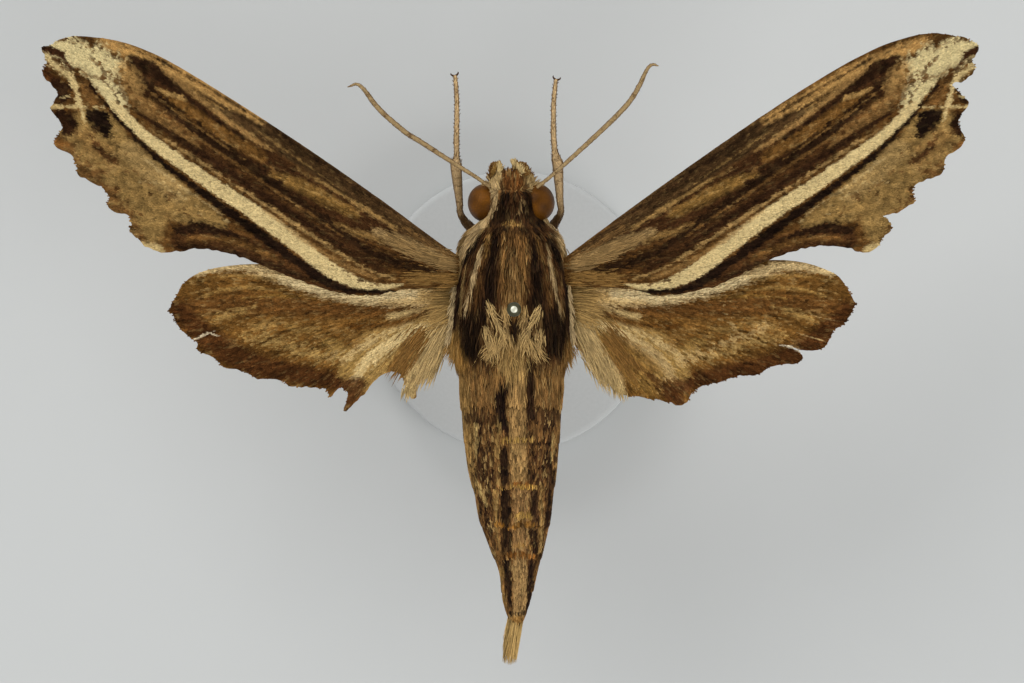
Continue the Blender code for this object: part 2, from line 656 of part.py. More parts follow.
def vein_lines(veins, outline):
    """Each vein's middle line and the two lines at its foot, cut short of the margin."""
    closed = outline + outline[:1]
    middles, lines = [], []
    for vein in veins:
        middle = smooth(vein, 3)
        middles.append(middle)
        for shift in (-VEIN_HALF_WIDTH, 0.0, VEIN_HALF_WIDTH):
            line = []
            for k, (x, y) in enumerate(middle):
                ahead = middle[min(k + 1, len(middle) - 1)]
                behind = middle[max(k - 1, 0)]
                run = Vector((ahead[0] - behind[0], ahead[1] - behind[1])).normalized()
                point = (x - run.y * shift, y + run.x * shift)
                if inside(point, outline) and distance_to_path(point, closed) > MARGIN_CLEAR:
                    line.append(point)
            lines.append(line)
    return middles, lines


def build_wing(name, sign, margin, veins, drop, spacing, colour):
    """A wing: one membrane, cut to its margin, with the veins raised in both of its faces."""
    outline = smooth(margin, 2)
    middles, lines = vein_lines(veins, outline)
    points = [Vector(point) for point in outline]
    edges = [(k, (k + 1) % len(outline)) for k in range(len(outline))]
    for line in lines:
        edges += [(len(points) + k, len(points) + k + 1) for k in range(len(line) - 1)]
        points += [Vector(point) for point in line]
    reach_low, reach_high = min(p[0] for p in outline), max(p[0] for p in outline)
    y_low, y_high = min(p[1] for p in outline), max(p[1] for p in outline)
    closed = outline + outline[:1]
    for i in range(int((reach_high - reach_low) / spacing) + 1):
        for j in range(int((y_high - y_low) / spacing) + 1):
            point = (reach_low + (i + 0.5 * (j % 2)) * spacing, y_low + j * spacing)
            clear = 0.45 * spacing
            if inside(point, outline) and distance_to_path(point, closed) > clear:
                if all(distance_to_path(point, middle) > clear for middle in middles):
                    points.append(Vector(point))
    flat, _, faces, _, _, _ = delaunay_2d_cdt(points, edges, [], 0, 1e-4)
    faces = [face for face in faces if inside(sum((flat[k] for k in face), Vector((0, 0))) / 3, outline)]

    bm = bmesh.new()
    upper, lower = [], []
    for point in flat:
        ridge = 0.0
        for middle in middles:
            near = 1 - distance_to_path(point, middle) / VEIN_HALF_WIDTH
            fade = 1 - 0.5 * min(point.x / reach_high, 1.0)
            ridge = max(ridge, VEIN_HEIGHT * fade * min(max(near, 0.0) * 1.4, 1.0))
        middle_z = wing_height(point.x, point.y) - drop
        x = sign * point.x
        half = WING_THICKNESS / 2
        upper.append(bm.verts.new(Vector((x, point.y, middle_z + half + ridge)) * MM))
        lower.append(bm.verts.new(Vector((x, point.y, middle_z - half - ridge * VEIN_UNDER_SHARE)) * MM))
    uses = {}
    for face in faces:
        bm.faces.new([upper[k] for k in face])
        bm.faces.new([lower[k] for k in reversed(face)])
        for a, b in zip(face, face[1:] + face[:1]):
            uses.setdefault(frozenset((a, b)), []).append((a, b))
    for runs in uses.values():
        if len(runs) == 1:
            a, b = runs[0]
            bm.faces.new((upper[b], upper[a], lower[a]))
            bm.faces.new((upper[b], lower[a], lower[b]))
    bmesh.ops.delete(bm, geom=[v for v in bm.verts if not v.link_faces], context="VERTS")
    finish(name, bm, colour)


def build_wings():
    """Two forewings, each over the front edge of a hindwing."""
    for side, sign in SIDES.items():
        build_wing(f"forewing_{side}", sign, FOREWING_MARGIN[side], FOREWING_VEINS, 0.0, FOREWING_GRID, "wing")
        build_wing(f"hindwing_{side}", sign, HINDWING_MARGIN[side], HINDWING_VEINS, HINDWING_DROP,
                   HINDWING_GRID, "hind")


def main():
    """Clears the scene and builds every piece of the moth, its pin and its base."""
    for old in list(bpy.data.objects):
        bpy.data.objects.remove(old)
    model = bpy.data.collections.new("hawk_moth")
    bpy.context.scene.collection.children.link(model)
    build_stand()
    build_pin()
    build_head()
    build_palps()
    build_proboscis()
    build_antennae()
    build_legs()
    build_thorax()
    build_abdomen()
    build_tail_tuft()
    build_wings()


main()
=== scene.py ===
"""The looks of a set hawk moth on its pin: patterned wings, scaled skin, hair and a plain stand.

Sizes are in millimetres in the frame's own axes and become metres as each mesh is made. On the
wings x is the reach out from the pin, and a side's sign is put on as the mesh is made.
"""

from __future__ import annotations

import logging
import math
from collections.abc import Callable
from dataclasses import dataclass, field, replace
from enum import Enum

import bpy
import numpy as np
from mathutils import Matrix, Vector
from mathutils.geometry import delaunay_2d_cdt

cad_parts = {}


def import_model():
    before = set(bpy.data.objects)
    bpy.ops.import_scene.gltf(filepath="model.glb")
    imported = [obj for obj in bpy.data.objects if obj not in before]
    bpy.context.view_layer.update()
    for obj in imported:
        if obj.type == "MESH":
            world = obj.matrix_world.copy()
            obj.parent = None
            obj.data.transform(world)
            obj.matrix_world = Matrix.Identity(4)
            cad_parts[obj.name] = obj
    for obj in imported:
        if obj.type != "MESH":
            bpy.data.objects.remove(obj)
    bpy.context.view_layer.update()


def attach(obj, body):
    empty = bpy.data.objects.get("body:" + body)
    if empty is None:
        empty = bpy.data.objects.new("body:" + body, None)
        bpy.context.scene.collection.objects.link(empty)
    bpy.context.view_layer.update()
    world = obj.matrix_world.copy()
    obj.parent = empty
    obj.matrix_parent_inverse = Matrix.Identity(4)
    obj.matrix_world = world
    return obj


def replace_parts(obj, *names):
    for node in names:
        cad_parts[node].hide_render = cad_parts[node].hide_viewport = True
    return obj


Array = np.ndarray
Path = tuple[tuple[float, ...], ...]
PlanMeasure = Callable[[Array], Array]  # takes plan points and gives a number or a row for each

MM = 0.001
BODY = "root"
PATTERN = "Pattern"  # the colour attribute that holds a piece's markings
BAKE_MAP = "OFBake"
PATCH = 0.003  # how wide one lock's patch on the bake map is
LUMA = (0.21, 0.72, 0.07)  # how bright the eye finds red, green and blue
BODY_MIDDLE = -0.18  # the body's middle lies this far from the pin's axis along X
LIMB_STEP = 0.06  # the spacing of a limb's rings
FAN_REACH = 13.0  # how far out a fan's streaks are as wide as their markings say
STRAW = "#b3925a"  # the palest single hairs and scales between the brown ones
LOG = logging.getLogger("hawk_moth")


class Side(Enum):
    """The two sides of the moth, each with its sign along X."""

    LEFT = -1
    RIGHT = 1

    @property
    def label(self) -> str:
        """The side's name in lower case."""
        return self.name.lower()


def linear(code: str) -> Array:
    """Turns an sRGB hex colour to linear light.

    Args:
        code: six hex digits after a hash.

    Returns:
        Red, green and blue in linear light.
    """
    srgb = np.array([int(code[k:k + 2], 16) for k in (1, 3, 5)]) / 255
    return np.where(srgb <= 0.04045, srgb / 12.92, ((srgb + 0.055) / 1.055) ** 2.4)


def smooth_path(points: Array, per_span: int) -> Array:
    """Runs a smooth curve through points.

    Args:
        points: the points to pass, one a row, with any number of columns.
        per_span: how many steps to make between two points.

    Returns:
        The curve's points, from the first given point to the last.
    """
    points = np.asarray(points, float)
    held = np.vstack([points[:1], points, points[-1:]])
    share = (np.arange(per_span) / per_span)[:, None]
    runs = []
    for before, start, end, after in zip(held, held[1:], held[2:], held[3:]):
        runs.append(0.5 * (2 * start + (end - before) * share
                           + (2 * before - 5 * start + 4 * end - after) * share ** 2
                           + (3 * start - before - 3 * end + after) * share ** 3))
    return np.vstack([*runs, points[-1:]])


def resample(path: Array, spacing: float) -> Array:
    """Spreads points evenly along a path.

    Args:
        path: the path's points.
        spacing: the wanted distance between two points.

    Returns:
        Points from the path's start to its end.
    """
    steps = np.linalg.norm(np.diff(path, axis=0), axis=1)
    along = np.concatenate([[0.0], np.cumsum(steps)])
    wanted = np.linspace(0, along[-1], max(2, round(along[-1] / spacing) + 1))
    return np.stack([np.interp(wanted, along, path[:, k]) for k in range(path.shape[1])], axis=1)


def nearest(points: Array, path: Array) -> tuple[Array, Array]:
    """Finds how far each point is from a path.

    Args:
        points: plan points, one a row.
        path: the path's plan points.

    Returns:
        Each point's distance, and the place along the path nearest to it, counted in path points.
    """
    best, place = np.full(len(points), np.inf), np.zeros(len(points))
    for k, (start, end) in enumerate(zip(path, path[1:])):
        run = end - start
        share = np.clip((points - start) @ run / max(run @ run, 1e-12), 0, 1)
        gap = np.linalg.norm(points - start - share[:, None] * run, axis=1)
        closer = gap < best
        best[closer], place[closer] = gap[closer], k + share[closer]
    return best, place


def inside(points: Array, outline: Array) -> Array:
    """Tells which plan points lie inside a closed outline.

    Args:
        points: plan points, one a row.
        outline: the outline's points in order.

    Returns:
        One truth value a point.
    """
    found = np.zeros(len(points), bool)
    for (x0, y0), (x1, y1) in zip(outline, np.roll(outline, -1, axis=0)):
        if y0 != y1:
            spans = (y0 > points[:, 1]) != (y1 > points[:, 1])
            found ^= spans & (points[:, 0] < x0 + (points[:, 1] - y0) / (y1 - y0) * (x1 - x0))
    return found


def grain(points: Array, size: tuple[float, float], seed: int) -> Array:
    """Smooth seeded noise over a plane.

    Args:
        points: plan points, one a row.
        size: the noise's cell along the first and second column.
        seed: picks the noise.

    Returns:
        One number a point, spread about 0 and mostly from -1 to 1.
    """
    table = np.random.default_rng(seed).random((256, 256))
    cells = points / np.asarray(size)
    low = np.floor(cells).astype(int)
    share = cells - low
    share = share * share * (3 - 2 * share)
    i, j = low[:, 0] & 255, low[:, 1] & 255
    i1, j1 = (i + 1) & 255, (j + 1) & 255
    near = table[i, j] * (1 - share[:, 0]) + table[i1, j] * share[:, 0]
    far = table[i, j1] * (1 - share[:, 0]) + table[i1, j1] * share[:, 0]
    return (near * (1 - share[:, 1]) + far * share[:, 1]) * 2 - 1


def turned_frame(points: Array, degrees: float) -> Array:
    """Plan points measured along and across a direction at that many degrees from X."""
    turn = math.radians(degrees)
    along = points @ np.array([math.cos(turn), math.sin(turn)])
    across = points @ np.array([-math.sin(turn), math.cos(turn)])
    return np.stack([along, across], axis=1)


@dataclass(frozen=True)
class Stroke:
    """One marking: a soft-edged line of colour along a path.

    Widths are spread evenly along the path. Its edges are moved by noise of up to ragged, and a
    width below nought leaves only scattered specks beside the path.
    """

    colour: str
    widths: tuple[float, ...]
    path: Path
    strength: float = 0.9
    softness: float = 0.2
    ragged: float = 0.1


@dataclass(frozen=True)
class Markings:
    """A ground colour, its markings and the streaks and speckles that break them up."""

    ground: str
    strokes: tuple[Stroke, ...]
    lie: float  # direction of the streaks, in degrees from X
    streak: float = 0.30
    speckle: float = 0.30
    streak_size: tuple[float, float] = (2.4, 0.16)
    speckle_size: float = 0.13
    fleck: float = 0.9  # how much darker the small dark flecks are
    glint: float = 0.0  # how strong the small straw-coloured flecks are
    seed: int = 1
    fan: tuple[float, float] | None = None  # where the streaks fan out from, if they do

    def frame(self, points: Array) -> Array:
        """Plan points measured along and across the streaks."""
        if self.fan is None:
            return turned_frame(points, self.lie)
        away = points - np.array(self.fan)
        return np.stack([np.hypot(*away.T), np.arctan2(away[:, 1], away[:, 0]) * FAN_REACH], axis=1)

    def colours(self, points: Array) -> Array:
        """Works out the markings' colour.

        Args:
            points: plan points, one a row.

        Returns:
            Linear red, green and blue, one row a point.
        """
        turned = self.frame(points)
        edge = (grain(turned, (0.5, 0.14), self.seed) + 0.6 * grain(turned, (0.16, 0.1), self.seed + 1)
                + 0.8 * grain(turned, (0.1, 0.08), self.seed + 6))
        shade = np.tile(linear(self.ground), (len(points), 1))
        for stroke in self.strokes:
            path = smooth_path(np.array(stroke.path), 4)
            gap, place = nearest(points, path)
            spots = np.linspace(0, len(path) - 1, len(stroke.widths))
            half = np.interp(place, spots, stroke.widths) / 2
            cover = np.clip((half - gap + edge * stroke.ragged) / stroke.softness + 0.5, 0, 1)
            shade += (cover * stroke.strength)[:, None] * (linear(stroke.colour) - shade)
        streaks = (grain(turned, self.streak_size, self.seed + 2)
                   + 0.6 * grain(turned, (1.1, 0.08), self.seed + 8))
        fine = grain(turned, (self.speckle_size * 1.6, self.speckle_size), self.seed + 3)
        coarse = grain(turned, (3.2, 0.22), self.seed + 4)
        flecks = np.clip(grain(turned, (0.3, 0.12), self.seed + 5) - 0.3, 0, 1) * 2.5
        glints = np.clip(grain(turned, (0.4, 0.09), self.seed + 7) - 0.35, 0, 1) * 2.5
        change = self.streak * streaks + self.speckle * (fine + 0.3 * coarse) - self.fleck * flecks
        luma = shade @ np.array(LUMA)
        factor = np.exp(change * np.clip(1.1 - 2.2 * luma, 0.22, 1.0))  # pale scales vary less than dark
        shade = shade * factor[:, None]
        straw = (np.clip(0.5 * self.glint * glints, 0, 0.7) * np.clip(13 * luma, 0.05, 1))[:, None]
        return np.clip(shade + straw * np.maximum(linear(STRAW) - shade, 0), 0, 1)


def make_mesh(name: str, points: Array, faces: Array, shade: Array | None = None,
              unwrap: Array | None = None) -> bpy.types.Object:
    """Makes a mesh object that rides on the moth's body, and reports it.

    Args:
        name: the piece's name.
        points: vertices in millimetres.
        faces: three or four vertex numbers a row.
        shade: linear colour at each vertex, if the piece has markings.
        unwrap: the bake map's place of each vertex, if the piece has one.

    Returns:
        The new object.
    """
    mesh = bpy.data.meshes.new(name)
    corners = faces.shape[1]
    mesh.vertices.add(len(points))
    mesh.vertices.foreach_set("co", (points * MM).astype(np.float32).ravel())
    mesh.loops.add(faces.size)
    mesh.loops.foreach_set("vertex_index", faces.astype(np.int32).ravel())
    mesh.polygons.add(len(faces))
    mesh.polygons.foreach_set("loop_start", np.arange(0, faces.size, corners, dtype=np.int32))
    mesh.update(calc_edges=True)
    mesh.shade_smooth()
    if shade is not None:
        layer = mesh.color_attributes.new(PATTERN, "FLOAT_COLOR", "POINT")
        layer.data.foreach_set("color", np.c_[shade, np.ones(len(shade))].astype(np.float32).ravel())
    if unwrap is not None:
        corner = unwrap[faces]
        seam = np.ptp(corner[..., 0], axis=1) > 0.5  # faces that close a ring run on past one
        corner[seam, :, 0] += corner[seam, :, 0] < 0.5
        layer = mesh.uv_layers.new(name=BAKE_MAP)
        layer.data.foreach_set("uv", (0.01 + 0.98 * corner).astype(np.float32).ravel())
    made = bpy.data.objects.new(name, mesh)
    bpy.context.scene.collection.objects.link(made)
    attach(made, BODY)
    LOG.info("%s: %d points, %d faces", name, len(points), len(faces))
    return made


def unit(rows: Array) -> Array:
    """Rows scaled to a length of one."""
    return rows / np.maximum(np.linalg.norm(rows, axis=-1, keepdims=True), 1e-9)


def loft(rings: Array) -> tuple[Array, Array]:
    """Joins closed rings into one closed skin.

    Args:
        rings: ring by ring, each with the same number of points, which run anticlockwise as seen
            when looking along the loft.

    Returns:
        The points, with the two end caps' middles last, and the triangles.
    """
    count, sides = rings.shape[:2]
    points = np.vstack([rings.reshape(-1, 3), rings[0].mean(0), rings[-1].mean(0)])
    column = np.arange(sides)
    a = np.arange(count - 1)[:, None] * sides + column
    b = np.arange(count - 1)[:, None] * sides + (column + 1) % sides
    walls = [np.stack([a, b + sides, b], -1), np.stack([a, a + sides, b + sides], -1)]
    first, last = column, column + (count - 1) * sides
    caps = [np.stack([np.full(sides, count * sides), first, np.roll(first, -1)], 1),
            np.stack([np.full(sides, count * sides + 1), np.roll(last, -1), last], 1)]
    return points, np.concatenate([wall.reshape(-1, 3) for wall in walls] + caps)


@dataclass(frozen=True)
class Tube:
    """A tube along a path of x, y, z and radius, with the directions across it."""

    path: Array
    side: Array
    up: Array

    @classmethod
    def along(cls, path: Array, side: tuple[float, float, float] | None = None) -> Tube:
        """Sets up the tube's directions, with its side kept level unless one is given."""
        ahead = unit(np.gradient(path[:, :3], axis=0))
        across = unit(np.cross(ahead, (0.0, 0.0, 1.0))) if side is None else np.tile(side, (len(path), 1))
        return cls(path, across, unit(np.cross(across, ahead)))

    def rings(self, sides: int, flat: float = 1.0) -> Array:
        """The tube's rings of points, lower than they are wide by the share flat."""
        turn = np.arange(sides) / sides * 2 * math.pi
        radius = self.path[:, None, 3:4]
        across = self.side[:, None] * np.cos(turn)[None, :, None]
        upward = self.up[:, None] * np.sin(turn)[None, :, None]
        return self.path[:, None, :3] + radius * (across + flat * upward)


def turned(profile: Array, sides: int) -> Array:
    """Rings of points for a shape turned about the pin's axis, from a profile that runs down."""
    turn = np.arange(sides) / sides * 2 * math.pi
    ring = np.stack([np.cos(turn), np.sin(turn)], axis=1)
    flat = profile[:, None, :1] * ring[None]
    return np.concatenate([flat, np.broadcast_to(profile[:, None, 1:], (*flat.shape[:2], 1))], axis=2)


def ring_unwrap(count: int, sides: int) -> Array:
    """Bake map places for a loft's points: round it and along it, with the caps' middles last."""
    along, turn = np.meshgrid(np.linspace(0, 1, count), np.arange(sides) / sides, indexing="ij")
    return np.vstack([np.stack([turn.ravel(), along.ravel()], 1), [[0.5, 0.0], [0.5, 1.0]]])


class LockShape(Enum):
    """How wide a lock is at places along it, as shares of its length and full width."""

    HAIR = ((0.0, 0.75), (0.4, 1.0), (0.78, 0.55))
    SCALE = ((0.0, 0.45), (0.35, 1.0), (0.88, 0.85))
    FLAKE = ((0.0, 0.5), (0.8, 1.0))


@dataclass
class Locks:
    """Small closed tapered locks of hair or single scales, one a row, that make one mesh."""

    roots: Array
    ways: Array
    ups: Array
    lengths: Array
    widths: Array
    shades: Array
    places: Array
    curl: float = -0.12  # how far the tip bends off its first line, as a share of the length
    fade: float = 0.4  # painted shade: how much darker the root is than the tip
    painted_tip_light: float = 1.12  # painted light: how much lighter the tip is than the lock's own shade

    @classmethod
    def joined(cls, parts: list[Locks]) -> Locks:
        """One set from several."""
        names = ("roots", "ways", "ups", "lengths", "widths", "shades", "places")
        rows = (np.concatenate([getattr(part, name) for part in parts]) for name in names)
        return cls(*rows, parts[0].curl, parts[0].fade)

    def build(self, name: str, finish: Finish, slot: str, shape: LockShape = LockShape.HAIR,
              thickness: float = 0.3) -> bpy.types.Object:
        """Makes the locks' mesh.

        Args:
            name: the piece's name.
            finish: its finish.
            slot: the record's slot, which is not used.
            shape: how the locks widen and narrow.
            thickness: their thickness as a share of their width.

        Returns:
            The new object.
        """
        side = unit(np.cross(self.ways, self.ups))
        up = unit(np.cross(side, self.ways))
        length, width = self.lengths[:, None], self.widths[:, None]
        rows, tones, spots = [], [], []
        for share, wide in (*shape.value, (1.0, 0.0)):
            middle = self.roots + self.ways * length * share + up * length * self.curl * share ** 2
            ends = ((-0.5, 0.0), (0.5, 0.0), (0.0, thickness)) if wide else ((0.0, 0.0),)
            for number, (out, rise) in enumerate(ends):
                rows.append(middle + (side * out + up * rise) * width * wide)
                # Painted light and shade: each lock is darker at its root and lighter at its tip.
                tones.append(self.shades * (self.painted_tip_light - self.fade * (1 - share)))
                spots.append(self.places + (PATCH * (share - 0.5), PATCH / 2 * (number - 1)))
        points, tone, spot = (np.stack(part, axis=1).reshape(-1, part[0].shape[1])
                              for part in (rows, tones, spots))
        pattern = [(0, 1, 2)]
        last, tip = 3 * len(shape.value) - 3, 3 * len(shape.value)
        for low in range(0, last, 3):
            for k in range(3):
                a, b = low + k, low + (k + 1) % 3
                pattern += [(a, b + 3, b), (a, a + 3, b + 3)]
        pattern += [(last + k, tip, last + (k + 1) % 3) for k in range(3)]
        starts = np.arange(len(self.roots))[:, None, None] * (tip + 1)
        faces = (starts + np.array(pattern)[None]).reshape(-1, 3)
        made = make_mesh(name, points, faces, np.clip(tone, 0, 1), np.clip(spot, 0, 1))
        return dress(made, finish, slot)


def add_node(tree: bpy.types.NodeTree, kind: str, settings: dict | None = None,
             links: dict | None = None) -> bpy.types.Node:
    """Adds a shader node with its settings and incoming links.

    Args:
        tree: the material's node tree.
        kind: the node's type name, without its leading ShaderNode.
        settings: node properties by name, and socket values by socket name.
        links: socket name or number to the output socket that feeds it.

    Returns:
        The new node.
    """
    node = tree.nodes.new("ShaderNode" + kind)
    for name, value in (settings or {}).items():
        if name in node.inputs:
            node.inputs[name].default_value = value
        else:
            setattr(node, name, value)
    for socket, source in (links or {}).items():
        tree.links.new(source, node.inputs[socket])
    return node


@dataclass(frozen=True)
class Finish:
    """What a surface is made of and how it takes the light.

    Where it is patterned, its colour is the piece's own markings, and grains of grain_mm vary it.
    """

    name: str
    colour: str = "#808080"
    patterned: bool = False
    roughness: float = 0.7
    metallic: float = 0.0
    specular: float = 0.35
    grain_mm: float = 0.15
    grain_depth: float = 0.25
    bump_mm: float = 0.02
    cells: bool = False  # a packed cell pattern, as on an eye, in place of cloudy grain

    def material(self) -> bpy.types.Material:
        """Builds the finish's nodes."""
        made = bpy.data.materials.new(self.name)
        made.use_nodes = True
        tree = made.node_tree
        shader = tree.nodes["Principled BSDF"]
        shader.inputs["Metallic"].default_value = self.metallic
        shader.inputs["Specular IOR Level"].default_value = self.specular
        place = add_node(tree, "TexCoord").outputs["Object"]
        scale = 1 / (self.grain_mm * MM)
        if self.cells:
            texture = add_node(tree, "TexVoronoi", {"Scale": scale}, {"Vector": place})
            height = texture.outputs["Distance"]
        else:
            texture = add_node(tree, "TexNoise", {"Scale": scale, "Detail": 3.0}, {"Vector": place})
            height = texture.outputs["Fac"]
        spread = add_node(tree, "MapRange", {
            "To Min": 1 - self.grain_depth, "To Max": 1 + self.grain_depth,
            "From Min": 0.25, "From Max": 0.75,
        }, {"Value": height})
        tint = add_node(tree, "VectorMath", {"operation": "SCALE"}, {"Scale": spread.outputs[0]})
        if self.patterned:
            markings = add_node(tree, "Attribute", {"attribute_name": PATTERN})
            tree.links.new(markings.outputs["Color"], tint.inputs[0])
        else:
            tint.inputs[0].default_value = linear(self.colour)
        tree.links.new(tint.outputs["Vector"], shader.inputs["Base Color"])
        rough = add_node(tree, "MapRange", {
            "To Min": max(self.roughness - 0.1, 0.05), "To Max": min(self.roughness + 0.1, 1.0),
        }, {"Value": height})
        tree.links.new(rough.outputs[0], shader.inputs["Roughness"])
        bump = add_node(tree, "Bump", {"Distance": self.bump_mm * MM}, {"Height": height})
        tree.links.new(bump.outputs["Normal"], shader.inputs["Normal"])
        return made


# Wing scales: flat chitin flakes shed over a thin membrane. They look powdery and almost matt.
WING_SCALES = Finish("wing_scales_powdery", patterned=True, roughness=0.8, specular=0.03,
                     grain_mm=0.13, grain_depth=0.24, bump_mm=0.02)
# Hair scales: long chitin fibres in soft locks. Their gloss is broken up, so they look soft.
HAIR = Finish("hair_scales_soft", patterned=True, roughness=0.6, specular=0.05,
              grain_mm=0.1, grain_depth=0.15, bump_mm=0.01)
# Dried cuticle of legs and feelers: hard brown chitin. It shows as a low gloss between the scales.
CUTICLE = Finish("cuticle_dried", patterned=True, roughness=0.45, specular=0.15, grain_mm=0.12,
                 grain_depth=0.2, bump_mm=0.01)
# Claws: dense dark chitin, worn smooth. They give small sharp glints.
CLAW = Finish("claw_chitin", colour="#3b2411", roughness=0.4, specular=0.15, grain_mm=0.1, bump_mm=0.002)
# Compound eye: clear cornea facets over dried brown pigment, drawn twice their size. Satin gloss.
EYE = Finish("eye_facets", patterned=True, roughness=0.34, specular=0.06, grain_mm=0.06,
             grain_depth=0.3, bump_mm=0.012, cells=True)
# Pin: drawn steel wire, tarnished olive-brown at its head. Dull metal, with a painted highlight as a pale
# spot on the head's top.
PIN = Finish("pin_tarnished_steel", patterned=True, roughness=0.42, metallic=0.55, specular=0.5,
             grain_mm=0.2, grain_depth=0.12, bump_mm=0.004)
# Stand: moulded grey plastic with a fine eroded texture, so that it stays matt.
STAND = Finish("stand_moulded_plastic", colour="#adafae", roughness=0.7, specular=0.1, grain_mm=0.25,
               grain_depth=0.03, bump_mm=0.006)
# Plain pale board under the stand, matt and without a grain that shows.
BACKDROP = Finish("backdrop_card", colour="#bbbdbc", roughness=0.9, specular=0.1,
                  grain_mm=4.0, grain_depth=0.004, bump_mm=0.0)


def dress(piece: bpy.types.Object, finish: Finish, slot: str) -> bpy.types.Object:
    """Gives a piece its finish."""
    known = bpy.data.materials.get(finish.name)
    piece.data.materials.clear()
    piece.data.materials.append(known or finish.material())
    return piece


